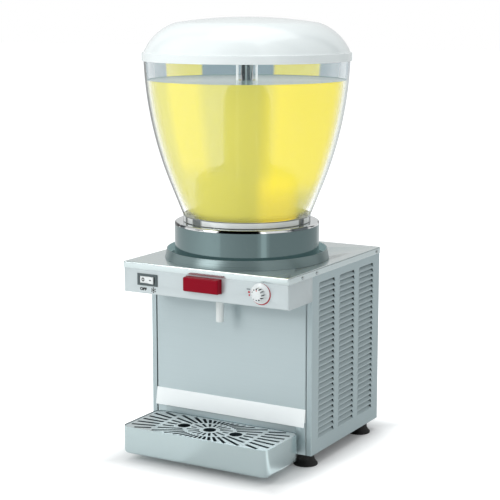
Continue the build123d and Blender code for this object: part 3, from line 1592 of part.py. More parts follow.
# Refrigerant pipes: discharge to the condenser, drier at its outlet, suction return
pipe_bend = 9.0
pipe_lane_gap = 14.85
pipe_entry_share = 0.7
pipe_lane_y = end_plate_y + pipe_lane_gap
pipe_level_z = stub_z + 4 * pipe_bend
pipe_entry_z = pan_floor_z + pipe_entry_share * condenser_height
pipe_low_z = pan_floor_z + 3 * pipe_bend
suction_level_z = cover_under_z - motor_drop / 2
discharge_x = compressor_x + discharge_stub[0]
discharge_y = compressor_y + discharge_stub[1]
with BuildPart() as discharge_pipe:
    with BuildLine() as discharge_path:
        FilletPolyline(
            (discharge_x, discharge_y, stub_z),
            (discharge_x, discharge_y, pipe_level_z),
            (discharge_x, pipe_lane_y, pipe_level_z),
            (condenser_x, pipe_lane_y, pipe_level_z),
            (condenser_x, pipe_lane_y, pipe_entry_z),
            (condenser_x, end_plate_y, pipe_entry_z),
            radius=pipe_bend,
        )
    with BuildSketch(level(stub_z, discharge_y, discharge_x)):
        Circle(pipe_radius)
    sweep(path=discharge_path.line)
discharge_pipe.part.label = "discharge_pipe"
export_step(discharge_pipe.part, "parts/discharge_pipe.step")

drier_radius = 9.0
drier_length = 66.0
drier_shoulder = 8.0
drier_offset = 40.0
drier_x = condenser_x - drier_offset
with BuildPart() as filter_drier:
    with BuildLine() as drier_path:
        FilletPolyline(
            (condenser_x, end_plate_y, pipe_low_z),
            (condenser_x, pipe_lane_y, pipe_low_z),
            (drier_x, pipe_lane_y, pipe_low_z),
            radius=pipe_bend,
        )
    with BuildSketch(Plane(origin=(condenser_x, end_plate_y, pipe_low_z), z_dir=(0, 1, 0))):
        Circle(pipe_radius)
    sweep(path=drier_path.line)
    with BuildSketch(upright(drier_x, pipe_lane_y, pipe_low_z)):
        Polygon(
            (0, 0),
            (0, pipe_radius),
            (-drier_shoulder, drier_radius),
            (-drier_length, drier_radius),
            (-drier_length - drier_shoulder, pipe_radius),
            (-drier_length - drier_shoulder, 0),
            align=None,
        )
    revolve(axis=Axis((0, pipe_lane_y, pipe_low_z), (1, 0, 0)))
filter_drier.part.label = "filter_drier"
export_step(filter_drier.part, "parts/filter_drier.step")

capillary_radius = 1.5
capillary_x = drier_x - drier_length - drier_shoulder
capillary_bend = 6.0
capillary_turn = 14.0
capillary_lane_gap = 20.0
capillary_spacing = 15.0
suction_line_y = bowl_y + suction_offset
riser_x = capillary_x - capillary_turn
riser_y = pipe_lane_y - capillary_lane_gap
with BuildPart() as capillary_tube:
    with BuildLine() as capillary_path:
        FilletPolyline(
            (capillary_x, pipe_lane_y, pipe_low_z),
            (riser_x, pipe_lane_y, pipe_low_z),
            (riser_x, riser_y, pipe_low_z),
            (riser_x, riser_y, suction_level_z),
            (riser_x, suction_line_y + capillary_spacing, suction_level_z),
            (riser_x, suction_line_y + capillary_spacing, cover_z),
            radius=capillary_bend,
        )
    with BuildSketch(
        Plane(origin=(capillary_x, pipe_lane_y, pipe_low_z), x_dir=(0, 1, 0), z_dir=(-1, 0, 0))
    ):
        Circle(capillary_radius)
    sweep(path=capillary_path.line)
capillary_tube.part.label = "capillary_tube"
export_step(capillary_tube.part, "parts/capillary_tube.step")

suction_x = compressor_x + suction_stub_x
with BuildPart() as suction_pipe:
    with BuildLine() as suction_path:
        FilletPolyline(
            (0, suction_line_y, deck_top + coil_floor),
            (0, suction_line_y, suction_level_z),
            (suction_x, suction_line_y, suction_level_z),
            (suction_x, suction_line_y, stub_z),
            radius=pipe_bend,
        )
    with BuildSketch(level(deck_top + coil_floor, suction_line_y)):
        Circle(pipe_radius)
    sweep(path=suction_path.line)
suction_pipe.part.label = "suction_pipe"
export_step(suction_pipe.part, "parts/suction_pipe.step")
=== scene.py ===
# %% [markdown]
# # Cold drink dispenser
# A refrigerated steel cabinet carries a clear bowl of yellow drink. The construction model is
# loaded as a fixed frame, and this script gives it finishes, smoother pieces, lights and a camera.
# Lengths are in metres, except in sections, and every finished piece keeps its place in its
# own mesh.

# %% Load the frame
import bpy
from math import cos, pi, radians, sin
from mathutils import Matrix, Vector


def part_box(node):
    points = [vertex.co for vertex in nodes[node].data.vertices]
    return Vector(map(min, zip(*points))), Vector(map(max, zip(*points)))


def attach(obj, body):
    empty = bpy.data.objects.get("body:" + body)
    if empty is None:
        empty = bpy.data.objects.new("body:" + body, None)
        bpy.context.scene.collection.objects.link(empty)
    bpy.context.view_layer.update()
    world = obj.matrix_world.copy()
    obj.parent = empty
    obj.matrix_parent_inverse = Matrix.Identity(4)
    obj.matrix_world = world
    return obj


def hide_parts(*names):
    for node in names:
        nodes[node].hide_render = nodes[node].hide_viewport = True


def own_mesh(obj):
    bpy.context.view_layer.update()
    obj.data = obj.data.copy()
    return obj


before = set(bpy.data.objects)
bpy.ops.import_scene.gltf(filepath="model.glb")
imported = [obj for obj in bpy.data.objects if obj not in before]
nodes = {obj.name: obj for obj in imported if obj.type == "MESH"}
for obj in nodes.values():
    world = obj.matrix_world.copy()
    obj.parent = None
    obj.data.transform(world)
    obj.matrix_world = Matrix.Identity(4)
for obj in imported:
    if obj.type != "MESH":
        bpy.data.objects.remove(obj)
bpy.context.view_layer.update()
print("construction nodes:", len(nodes))

# %% [markdown]
# The main places are read from the frame, so that each new piece sits where the solid one does:
# the axis that the round pieces share, and the levels of the cover, the deck and the control box.
# Sections of round pieces are in millimetres, and mm turns them into metres. The drink stands
# at this level above the deck.

# %% Places shared by the pieces
low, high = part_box("bowl")
axis_y = (low[1] + high[1]) / 2
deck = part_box("deck_ring")[1][2]
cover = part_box("top_cover")[1][2]
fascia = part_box("control_box")[0][1]
mm = 0.001
level = 248.5
weld_gap = 0.00001
print("axis y", round(axis_y, 4), "deck", round(deck, 4), "cover", round(cover, 4))


# %% [markdown]
# ## Helpers for modelling
# A new primitive is selected all over, so each piece starts from an empty selection. A finished
# piece is named, has its scale and place applied to its mesh, and rides on its body.

# %% Starting and finishing a piece
def start_clean():
    if bpy.context.object and bpy.context.object.mode != "OBJECT":
        bpy.ops.object.mode_set(mode="OBJECT")
    bpy.ops.object.select_all(action="DESELECT")


def finish_piece(name, body, material, stands_for=(), smooth=35):
    piece = bpy.context.object
    if piece.mode != "OBJECT":
        bpy.ops.object.mode_set(mode="OBJECT")
    piece.name = name
    bpy.ops.object.select_all(action="DESELECT")
    piece.select_set(True)
    bpy.ops.object.transform_apply(location=True, rotation=True, scale=True)
    if smooth:
        bpy.ops.object.shade_smooth_by_angle(angle=radians(smooth))
    piece.data.materials.clear()
    piece.data.materials.append(material)
    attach(piece, body)
    if stands_for:
        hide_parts(*stands_for)
    piece.select_set(False)
    print(name, len(piece.data.polygons), "faces")
    return piece


# %% [markdown]
# Some faces of a piece take a second finish. A function picks them by the way they face.

# %% A second finish on some faces
def paint_faces(piece, material, chosen):
    piece.data.materials.append(material)
    for face in piece.data.polygons:
        if chosen(face):
            face.material_index = len(piece.data.materials) - 1


def is_level(face):
    return face.normal.z > 0.9


def is_upright(face):
    return abs(face.normal.z) < 0.5


def looks_in(face):
    """Whether a face looks towards the axis of the round pieces."""
    spoke = Vector((face.center.x, face.center.y - axis_y, 0))
    return face.normal.dot(spoke) < 0


# %% [markdown]
# Round pieces are spun like a potter's profile. One point is drawn out along the section, and
# the open line is then spun about the axis. Curved stretches of a section get points of their own.

# %% Points along an arc through three points
def arc(first, middle, last, count=16):
    (ax, ay), (bx, by), (cx, cy) = first, middle, last
    d = 2 * (ax * (by - cy) + bx * (cy - ay) + cx * (ay - by))
    sa, sb, sc = ax * ax + ay * ay, bx * bx + by * by, cx * cx + cy * cy
    centre = Vector((
        (sa * (by - cy) + sb * (cy - ay) + sc * (ay - by)) / d,
        (sa * (cx - bx) + sb * (ax - cx) + sc * (bx - ax)) / d,
    ))
    spokes = [Vector(p) - centre for p in (first, middle, last)]
    radius = spokes[0].length
    sweep = spokes[0].angle_signed(spokes[2])
    half = spokes[0].angle_signed(spokes[1])
    if abs(half) > abs(sweep) or half * sweep < 0:
        sweep -= 2 * pi if sweep > 0 else -2 * pi
    points = []
    for i in range(count + 1):
        turned = spokes[0].copy()
        turned.rotate(Matrix.Rotation(-sweep * i / count, 2))
        points.append(tuple(centre + turned.normalized() * radius))
    return points


# %% Spinning a section about an axis
def spin_section(section, centre, axis=(0, 0, 1), out=(1, 0, 0), steps=128):
    """Section points are (distance from the axis, distance along it)."""
    start_clean()
    centre, axis, out = Vector(centre), Vector(axis), Vector(out)
    places = [centre + out * r + axis * h for r, h in section]
    bpy.ops.mesh.primitive_plane_add(size=0.001, location=places[0])
    bpy.ops.object.mode_set(mode="EDIT")
    bpy.ops.mesh.merge(type="CENTER")
    for here, there in zip(places, places[1:]):
        bpy.ops.mesh.extrude_region_move(TRANSFORM_OT_translate={"value": there - here})
    bpy.ops.mesh.select_all(action="SELECT")
    bpy.ops.mesh.spin(steps=steps, angle=2 * pi, center=centre, axis=axis)
    bpy.ops.mesh.select_all(action="SELECT")
    bpy.ops.mesh.remove_doubles(threshold=weld_gap)
    bpy.ops.mesh.normals_make_consistent(inside=False)
    bpy.ops.object.mode_set(mode="OBJECT")
    return bpy.context.object


# %% [markdown]
# Folded sheet keeps the exact outline of its solid node. A merged copy of that node gets its
# sharp arrises rounded by a narrow bevel, so that every edge catches a line of light as it
# does on real metal.

# %% Rounding a copy of a solid node
def soften(node, body, material, width=0.0004, segments=2, smooth=35):
    start_clean()
    source = nodes[node]
    piece = source.copy()
    piece.data = source.data.copy()
    bpy.context.scene.collection.objects.link(piece)
    piece.parent = None
    piece.matrix_world = source.matrix_world
    bpy.context.view_layer.objects.active = piece
    piece.select_set(True)
    bpy.ops.object.mode_set(mode="EDIT")
    bpy.ops.mesh.select_all(action="SELECT")
    bpy.ops.mesh.remove_doubles(threshold=weld_gap)
    bpy.ops.mesh.dissolve_limited(angle_limit=radians(0.6))
    bpy.ops.object.mode_set(mode="OBJECT")
    if width:
        rounding = piece.modifiers.new("rounding", "BEVEL")
        rounding.width = width
        rounding.segments = segments
        rounding.limit_method = "ANGLE"
        rounding.angle_limit = radians(40)
        rounding.use_clamp_overlap = True
        rounding.harden_normals = False
        bpy.ops.object.modifier_apply(modifier="rounding")
    return finish_piece(node + "_skin", body, material, (node,), smooth)


# %% [markdown]
# ## Finishes
# Colours are written as they look on a screen and turned into the linear values that a shader
# takes. Two effects are shared by many finishes, so they are node groups: a directional grain
# for brushed metal, and a fine speckle for moulded pieces.

# %% Screen colour to shader colour
def tint(red, green, blue, alpha=1.0):
    linear = []
    for value in (red, green, blue):
        value /= 255
        linear.append(value / 12.92 if value <= 0.04045 else ((value + 0.055) / 1.055) ** 2.4)
    return (*linear, alpha)


# %% A node group with its sockets
def new_group(name, inputs, outputs):
    group = bpy.data.node_groups.new(name, "ShaderNodeTree")
    for direction, sockets in (("INPUT", inputs), ("OUTPUT", outputs)):
        for label, kind in sockets.items():
            group.interface.new_socket(label, in_out=direction, socket_type="NodeSocket" + kind)
    return group


effect_outputs = {"Colour": "Color", "Roughness": "Float", "Height": "Float"}


# %% Brushed grain as a node group
def make_brushed_grain():
    sockets = {"Stretch": "Vector", "Light Tone": "Color", "Dark Tone": "Color",
               "Smooth": "Float", "Rough": "Float"}
    group = new_group("brushed grain", sockets, effect_outputs)
    n, l = group.nodes, group.links
    inputs = n.new("NodeGroupInput")
    outputs = n.new("NodeGroupOutput")
    place = n.new("ShaderNodeTexCoord")
    scale = n.new("ShaderNodeVectorMath")
    scale.operation = "MULTIPLY"
    l.new(place.outputs["Object"], scale.inputs[0])
    l.new(inputs.outputs["Stretch"], scale.inputs[1])
    lines = n.new("ShaderNodeTexNoise")
    lines.inputs["Scale"].default_value = 1.0
    lines.inputs["Detail"].default_value = 3.0
    lines.inputs["Roughness"].default_value = 0.65
    l.new(scale.outputs[0], lines.inputs["Vector"])
    cloud = n.new("ShaderNodeTexNoise")
    cloud.inputs["Scale"].default_value = 7.0
    cloud.inputs["Detail"].default_value = 2.0
    l.new(place.outputs["Object"], cloud.inputs["Vector"])
    both = n.new("ShaderNodeMix")
    both.data_type = "FLOAT"
    both.inputs[0].default_value = 0.35
    l.new(lines.outputs["Fac"], both.inputs[2])
    l.new(cloud.outputs["Fac"], both.inputs[3])
    tone = n.new("ShaderNodeMix")
    tone.data_type = "RGBA"
    l.new(both.outputs[0], tone.inputs[0])
    l.new(inputs.outputs["Dark Tone"], tone.inputs[6])
    l.new(inputs.outputs["Light Tone"], tone.inputs[7])
    spread = n.new("ShaderNodeMapRange")
    l.new(both.outputs[0], spread.inputs["Value"])
    spread.inputs["From Min"].default_value = 0.3
    spread.inputs["From Max"].default_value = 0.7
    l.new(inputs.outputs["Smooth"], spread.inputs["To Min"])
    l.new(inputs.outputs["Rough"], spread.inputs["To Max"])
    l.new(tone.outputs[2], outputs.inputs["Colour"])
    l.new(spread.outputs["Result"], outputs.inputs["Roughness"])
    l.new(lines.outputs["Fac"], outputs.inputs["Height"])
    return group


brushed_grain = make_brushed_grain()


# %% Moulded speckle as a node group
def make_moulded_speckle():
    sockets = {"Base": "Color", "Shade": "Color", "Fineness": "Float",
               "Smooth": "Float", "Rough": "Float"}
    group = new_group("moulded speckle", sockets, effect_outputs)
    n, l = group.nodes, group.links
    inputs = n.new("NodeGroupInput")
    outputs = n.new("NodeGroupOutput")
    place = n.new("ShaderNodeTexCoord")
    fine = n.new("ShaderNodeTexNoise")
    fine.inputs["Detail"].default_value = 2.0
    l.new(place.outputs["Object"], fine.inputs["Vector"])
    l.new(inputs.outputs["Fineness"], fine.inputs["Scale"])
    broad = n.new("ShaderNodeTexNoise")
    broad.inputs["Scale"].default_value = 9.0
    l.new(place.outputs["Object"], broad.inputs["Vector"])
    tone = n.new("ShaderNodeMix")
    tone.data_type = "RGBA"
    l.new(broad.outputs["Fac"], tone.inputs[0])
    l.new(inputs.outputs["Base"], tone.inputs[6])
    l.new(inputs.outputs["Shade"], tone.inputs[7])
    spread = n.new("ShaderNodeMapRange")
    l.new(fine.outputs["Fac"], spread.inputs["Value"])
    spread.inputs["From Min"].default_value = 0.3
    spread.inputs["From Max"].default_value = 0.7
    l.new(inputs.outputs["Smooth"], spread.inputs["To Min"])
    l.new(inputs.outputs["Rough"], spread.inputs["To Max"])
    l.new(tone.outputs[2], outputs.inputs["Colour"])
    l.new(spread.outputs["Result"], outputs.inputs["Roughness"])
    l.new(fine.outputs["Fac"], outputs.inputs["Height"])
    return group


moulded_speckle = make_moulded_speckle()


# %% [markdown]
# A finish takes one of the two effects and feeds it to the shader: tone to the base colour,
# spread to the roughness, and height through a shallow bump.

# %% A finish from an effect
def adjust(material, settings):
    shader = material.node_tree.nodes["Principled BSDF"]
    for label, value in settings.items():
        shader.inputs[label].default_value = value


def finish_from(effect, name, settings, bump, depth):
    material = bpy.data.materials.new(name)
    material.use_nodes = True
    n, l = material.node_tree.nodes, material.node_tree.links
    shader = n["Principled BSDF"]
    source = n.new("ShaderNodeGroup")
    source.node_tree = effect
    for label, value in settings.items():
        source.inputs[label].default_value = value
    l.new(source.outputs["Colour"], shader.inputs["Base Color"])
    l.new(source.outputs["Roughness"], shader.inputs["Roughness"])
    relief = n.new("ShaderNodeBump")
    relief.inputs["Strength"].default_value = bump
    relief.inputs["Distance"].default_value = depth
    l.new(source.outputs["Height"], relief.inputs["Height"])
    l.new(relief.outputs["Normal"], shader.inputs["Normal"])
    return material


# %% Brushed metal and moulded finishes
grain_depth = 0.0004
speckle_depth = 0.0002


def brushed(name, light, dark, stretch, smooth=0.28, rough=0.42, metallic=1.0, bump=0.03):
    settings = {"Stretch": stretch, "Light Tone": tint(*light), "Dark Tone": tint(*dark),
                "Smooth": smooth, "Rough": rough}
    material = finish_from(brushed_grain, name, settings, bump, grain_depth)
    adjust(material, {"Metallic": metallic})
    return material


def moulded(name, base, shade, smooth=0.25, rough=0.4, fineness=900, bump=0.04, coat=0.0):
    settings = {"Base": tint(*base), "Shade": tint(*shade), "Fineness": fineness,
                "Smooth": smooth, "Rough": rough}
    material = finish_from(moulded_speckle, name, settings, bump, speckle_depth)
    adjust(material, {"Coat Weight": coat})
    return material


# %% [markdown]
# The cabinet is brushed along its width, the neck round its axis. Grain lines come from noise
# that is squeezed in one direction, so a small stretch number is the direction of the brush.
# The two tones of a finish lie close together, because good sheet shows its grain only faintly.
# The splash plate has a faint painted glow. The gutter's inner faces are painted pale, with a
# strong painted glow where their shade would be. Both come out as pale as the real ones.
# Specular IOR Level is lowered where a mirrored lamp would wash the tone out.

# %% Metals
cabinet_steel = brushed("cabinet steel", (196, 210, 213), (186, 201, 204), (6, 6, 900),
                        0.3, 0.38, metallic=0.6, bump=0.015)
louvre_steel = brushed("louvre steel", (190, 205, 208), (180, 195, 198), (6, 6, 900),
                       0.46, 0.54, metallic=0.5, bump=0.01)
adjust(louvre_steel, {"Specular IOR Level": 0.3})
fascia_steel = brushed("fascia steel", (206, 215, 217), (197, 207, 209), (6, 6, 1100),
                       0.3, 0.38, metallic=0.5, bump=0.015)
cover_steel = brushed("cover steel", (222, 233, 234), (212, 224, 225), (900, 6, 6),
                      0.16, 0.22, metallic=0.8, bump=0.008)
tray_steel = brushed("tray steel", (196, 211, 213), (191, 206, 208), (3, 3, 300),
                     0.16, 0.2, metallic=0.8, bump=0.002)
# Painted shade for the tray's hollow and the walls of the grille's slots.
tray_painted_shade = brushed("tray painted shade", (84, 100, 106), (74, 90, 96), (6, 6, 300),
                            0.3, 0.4, metallic=0.5, bump=0.01)
grille_steel = brushed("grille steel", (206, 216, 218), (198, 209, 211), (300, 6, 6),
                       0.26, 0.34, metallic=0.4, bump=0.005)
# Near white and not metallic, with a faint painted glow.
splash_steel = brushed("splash steel", (249, 253, 253), (244, 249, 250), (6, 6, 700),
                       0.3, 0.4, metallic=0.0, bump=0.01)
adjust(splash_steel, {"Emission Color": tint(231, 241, 243), "Emission Strength": 0.03})
neck_steel = brushed("neck steel", (118, 137, 138), (112, 131, 132), (3, 3, 900),
                     0.08, 0.11, metallic=0.9, bump=0.002)
collar_steel = brushed("collar steel", (122, 140, 141), (116, 134, 135), (3, 3, 900),
                       0.26, 0.32, metallic=0.35, bump=0.004)
mirror_steel = brushed("mirror steel", (238, 243, 243), (228, 234, 235), (40, 40, 300),
                       0.04, 0.08, metallic=1.0, bump=0.006)
galvanised = brushed("galvanised sheet", (140, 146, 148), (112, 118, 121), (60, 60, 60),
                     0.4, 0.55, metallic=0.9)
screw_steel = brushed("screw steel", (206, 212, 213), (176, 184, 186), (200, 200, 200),
                      0.2, 0.3)
polished_steel = brushed("polished steel", (206, 213, 214), (188, 196, 198), (300, 300, 20),
                         0.04, 0.1, bump=0.01)
copper = brushed("copper tube", (205, 132, 92), (168, 98, 62), (120, 120, 120), 0.25, 0.4)
# Near black, partly as painted shade seen through the louvres.
dark_fins = brushed("black painted fins", (44, 46, 48), (30, 32, 34), (20, 800, 20),
                     0.45, 0.6, metallic=0.2)
# Painted light: a pale tone and a strong glow on the collar's inner faces, where their shade would
# be.
gutter_steel = brushed("gutter steel", (206, 218, 219), (196, 208, 210), (3, 3, 300),
                       0.4, 0.5, metallic=0.1, bump=0.004)
adjust(gutter_steel, {"Emission Color": tint(117, 137, 138), "Emission Strength": 0.85})

# %% Moulded and soft finishes
lid_white = moulded("lid white", (238, 244, 244), (233, 239, 239), 0.16, 0.24, coat=0.2)
button_red = moulded("button red", (142, 3, 30), (132, 2, 27), 0.3, 0.38)
adjust(button_red, {"Specular IOR Level": 0.1})
bezel_grey = moulded("bezel grey", (84, 96, 98), (72, 84, 86), 0.35, 0.5)
rocker_white = moulded("rocker white", (236, 239, 239), (226, 231, 231), 0.25, 0.35)
knob_white = moulded("knob white", (230, 234, 234), (222, 227, 228), 0.24, 0.32, coat=0.1)
# Painted shade for the groove round the knob.
groove_painted_shade = moulded("knob groove painted shade", (58, 64, 66), (48, 54, 56), 0.4, 0.5)
print_dark = moulded("print dark grey", (14, 16, 18), (10, 12, 14), 0.5, 0.6)
print_grey = moulded("print pale grey", (132, 140, 142), (120, 128, 130), 0.5, 0.6)
print_red = moulded("print red", (190, 22, 44), (172, 18, 38), 0.35, 0.45)
rubber_black = moulded("rubber black", (8, 9, 9), (12, 13, 13), 0.5, 0.65, fineness=1500)
dark_plastic = moulded("dark plastic", (36, 38, 40), (24, 26, 28), 0.4, 0.55)
inner_plastic = moulded("natural plastic", (222, 220, 208), (206, 204, 190), 0.4, 0.55)
foam_yellow = moulded("cut foam", (226, 204, 150), (202, 178, 122), 0.8, 0.95, fineness=500,
                      bump=0.4)
black_enamel = moulded("black enamel", (18, 19, 20), (30, 31, 32), 0.2, 0.32, coat=0.3)
silicone = moulded("milky silicone", (240, 244, 243), (230, 235, 234), 0.3, 0.42)

# %% [markdown]
# ## The clear bowl and what it holds
# Clear pieces and the drink follow two places: how far round the bowl a point is, and how high
# above the deck. One node group works both out from Object coordinates, and each of their
# materials uses it. A turn of 0.5 is the front, and the turn grows towards the right.

# %% Turn and height as a node group
def turn_from(n, l, parts):
    """How far round an upright axis a direction points, from 0 at the back to 0.5 in front."""
    forward = n.new("ShaderNodeMath")
    forward.operation = "MULTIPLY"
    forward.inputs[1].default_value = -1
    l.new(parts.outputs["Y"], forward.inputs[0])
    angle = n.new("ShaderNodeMath")
    angle.operation = "ARCTAN2"
    l.new(parts.outputs["X"], angle.inputs[0])
    l.new(forward.outputs[0], angle.inputs[1])
    turn = n.new("ShaderNodeMapRange")
    turn.inputs["From Min"].default_value = -pi
    turn.inputs["From Max"].default_value = pi
    l.new(angle.outputs[0], turn.inputs["Value"])
    return turn.outputs["Result"]


def make_turn_and_height():
    group = new_group("turn and height", {}, {"Turn": "Float", "Height": "Float"})
    n, l = group.nodes, group.links
    outputs = n.new("NodeGroupOutput")
    place = n.new("ShaderNodeTexCoord")
    from_foot = n.new("ShaderNodeVectorMath")
    from_foot.operation = "SUBTRACT"
    from_foot.inputs[1].default_value = (0, axis_y, deck)
    l.new(place.outputs["Object"], from_foot.inputs[0])
    parts = n.new("ShaderNodeSeparateXYZ")
    l.new(from_foot.outputs[0], parts.inputs[0])
    l.new(turn_from(n, l, parts), outputs.inputs["Turn"])
    l.new(parts.outputs["Z"], outputs.inputs["Height"])
    return group


turn_and_height = make_turn_and_height()


def turn_height(n):
    place = n.new("ShaderNodeGroup")
    place.node_tree = turn_and_height
    return place.outputs["Turn"], place.outputs["Height"]


# %% [markdown]
# Two small helpers keep the clear materials short. A band is a colour ramp that is white inside
# some stretches of its input and black elsewhere, with soft ends. A rise goes from one value to
# another over a stretch of its input.

# %% Bands and rises
def band(n, l, source, stretches, soft):
    ramp = n.new("ShaderNodeValToRGB")
    stops = ramp.color_ramp.elements
    stops[0].position = 0
    stops[0].color = (0, 0, 0, 1)
    stops[1].position = 1
    stops[1].color = (0, 0, 0, 1)
    for first, last in stretches:
        start = [(first, 0), (first + soft, 1)] if first > 0 else []
        end = [(last - soft, 1), (last, 0)] if last < 1 else []
        if first <= 0:
            stops[0].color = (1, 1, 1, 1)
        if last >= 1:
            stops[len(stops) - 1].color = (1, 1, 1, 1)
        for place, shade in start + end:
            stop = stops.new(place)
            stop.color = (shade, shade, shade, 1)
    l.new(source, ramp.inputs["Fac"])
    return ramp.outputs["Color"]


def rise(n, l, source, first, last, low=0.0, high=1.0):
    node = n.new("ShaderNodeMapRange")
    node.interpolation_type = "SMOOTHSTEP"
    node.inputs["From Min"].default_value = first
    node.inputs["From Max"].default_value = last
    node.inputs["To Min"].default_value = low
    node.inputs["To Max"].default_value = high
    l.new(source, node.inputs["Value"])
    return node.outputs["Result"]


def calc(n, l, operation, one, other):
    node = n.new("ShaderNodeMath")
    node.operation = operation
    node.use_clamp = True
    for socket, value in zip(node.inputs, (one, other)):
        if isinstance(value, float):
            socket.default_value = value
        else:
            l.new(value, socket)
    return node.outputs[0]


def blend_tones(n, l, factor, one, other):
    node = n.new("ShaderNodeMix")
    node.data_type = "RGBA"
    l.new(factor, node.inputs[0])
    for socket, value in ((node.inputs[6], one), (node.inputs[7], other)):
        if isinstance(value, tuple):
            socket.default_value = tint(*value)
        else:
            l.new(value, socket)
    return node.outputs[2]


# %% [markdown]
# Polished steel that curves tightly squeezes the whole studio into a few upright streaks: the thin
# tube over the cooling cup, and the turned-down lip of the deck. Here these streaks are painted
# reflections. The base colour goes white, grey and black with the turn, inside a stretch of height
# that names where the streaks are.

# %% Polished steel with painted reflections
def make_painted_reflections(name, plain_steel, blacks, greys, first, last):
    material = plain_steel.copy()
    material.name = name
    n, l = material.node_tree.nodes, material.node_tree.links
    shader = n["Principled BSDF"]
    turn, height = turn_height(n)
    plain = shader.inputs["Base Color"].links[0].from_socket
    black = band(n, l, turn, blacks, 0.006)
    grey = band(n, l, turn, greys, 0.006)
    painted_streaks = blend_tones(n, l, grey, (250, 252, 252), (112, 120, 124))
    painted_streaks = blend_tones(n, l, black, painted_streaks, (12, 14, 15))
    over = rise(n, l, height, first, last)
    colour = blend_tones(n, l, over, plain, painted_streaks)
    l.new(colour, shader.inputs["Base Color"])
    return material


chimney_steel = make_painted_reflections(
    "chimney steel", polished_steel, [(0.1, 0.2), (0.43, 0.535), (0.88, 0.95)],
    [(0.585, 0.67)], 0.24, 0.25)
deck_steel = make_painted_reflections(
    "deck steel", mirror_steel, [(0.05, 0.12), (0.3, 0.4), (0.515, 0.615), (0.8, 0.86)],
    [(0.4, 0.43), (0.68, 0.74)], -0.0001, -0.0006)


# %% [markdown]
# Thin clear plastic. Light passes almost straight through a wall of 3.5 mm, so the wall is
# drawn with alpha: a trace where it faces the eye, and much more where it is seen edge on,
# which gives the outline. That is quieter and faster than real refraction through two skins.
# The stirrer has a painted glow, so that its edges stand out pale inside the bowl.

# %% Clear plastic
def clear_plastic(name, tone, face=0.03, edge=0.75, turn_point=0.7, shine=0.05, full=0.93):
    material = bpy.data.materials.new(name)
    material.use_nodes = True
    n, l = material.node_tree.nodes, material.node_tree.links
    shader = n["Principled BSDF"]
    facing = n.new("ShaderNodeLayerWeight")
    facing.inputs["Blend"].default_value = 0.5
    place = n.new("ShaderNodeTexCoord")
    wisp = n.new("ShaderNodeTexNoise")
    wisp.inputs["Scale"].default_value = 30.0
    l.new(place.outputs["Object"], wisp.inputs["Vector"])
    dim = tuple(value - 8 for value in tone)
    l.new(blend_tones(n, l, wisp.outputs["Fac"], tone, dim), shader.inputs["Base Color"])
    l.new(rise(n, l, wisp.outputs["Fac"], 0.3, 0.7, shine, shine + 0.04),
          shader.inputs["Roughness"])
    l.new(rise(n, l, facing.outputs["Facing"], turn_point, full, face, edge),
          shader.inputs["Alpha"])
    return material


stirrer_clear = clear_plastic("stirrer clear", (248, 250, 250), 0.02, 0.95, 0.4, full=0.75)
# Painted glow on the stirrer.
adjust(stirrer_clear, {"Emission Color": tint(240, 246, 247), "Emission Strength": 0.55})
floor_clear = clear_plastic("bowl floor clear", (232, 238, 239), 0.1, 0.6)


# %% [markdown]
# The bowl's outside has two more things, both painted light. Its thick foot is painted with the
# pale and dark upright stripes and the dark lines near its top and bottom that light bent by the
# foot makes. The side where the wall turns away from the light has a painted darker outline.

# %% Outside of the bowl
foot_height = 11.5
turned_away = [(0.23, 0.45)]
upper_foot_line, lower_foot_line = (0.0098, 0.0108), (0.0018, 0.001)
painted_foot_stripes = [(0.09, 0.13), (0.21, 0.24), (0.345, 0.362), (0.385, 0.4), (0.425, 0.462),
               (0.728, 0.752), (0.785, 0.81)]


def make_bowl_outside():
    material = clear_plastic("bowl outside", (240, 246, 247), 0.03, 0.92, 0.7, full=0.89)
    n, l = material.node_tree.nodes, material.node_tree.links
    shader = n["Principled BSDF"]
    turn, height = turn_height(n)
    # Painted shade: darker on the side turned away from the light.
    dark_side = band(n, l, turn, turned_away, 0.06)
    tone = blend_tones(n, l, dark_side, (216, 222, 230), (52, 52, 46))
    # Painted light on the foot: pale and dark upright stripes, and dark lines near its top and
    # bottom.
    foot = rise(n, l, height, (foot_height + 1) * mm, foot_height * mm, 0.0, 0.8)
    foot_stripes = band(n, l, turn, painted_foot_stripes, 0.002)
    foot_lines = calc(n, l, "MAXIMUM", rise(n, l, height, *upper_foot_line), rise(n, l, height, *lower_foot_line))
    foot_tone = blend_tones(n, l, calc(n, l, "MAXIMUM", foot_stripes, foot_lines),
                            (252, 254, 254), (30, 42, 44))
    l.new(blend_tones(n, l, foot, tone, foot_tone), shader.inputs["Base Color"])
    alpha = shader.inputs["Alpha"].links[0].from_socket
    l.new(calc(n, l, "ADD", alpha, foot), shader.inputs["Alpha"])
    return material


bowl_outside = make_bowl_outside()

# %% [markdown]
# The inner face of the wall is seen across the bowl. Over the drink, the far wall is painted grey,
# a painted reflection of the dark hollow of the lid, while the near wall stays clear: Backfacing
# tells the two apart. Lamps shine through it and steel doesn't mirror it, so only the eye's own
# rays meet the grey. Four yellow upright bands over the drink are painted reflections too, and the
# whole inner face has a painted glow.

# %% Inside of the bowl
reflection_bands = [(0.0, 0.037), (0.161, 0.242), (0.445, 0.5125), (0.623, 0.7036), (0.945, 1.0)]


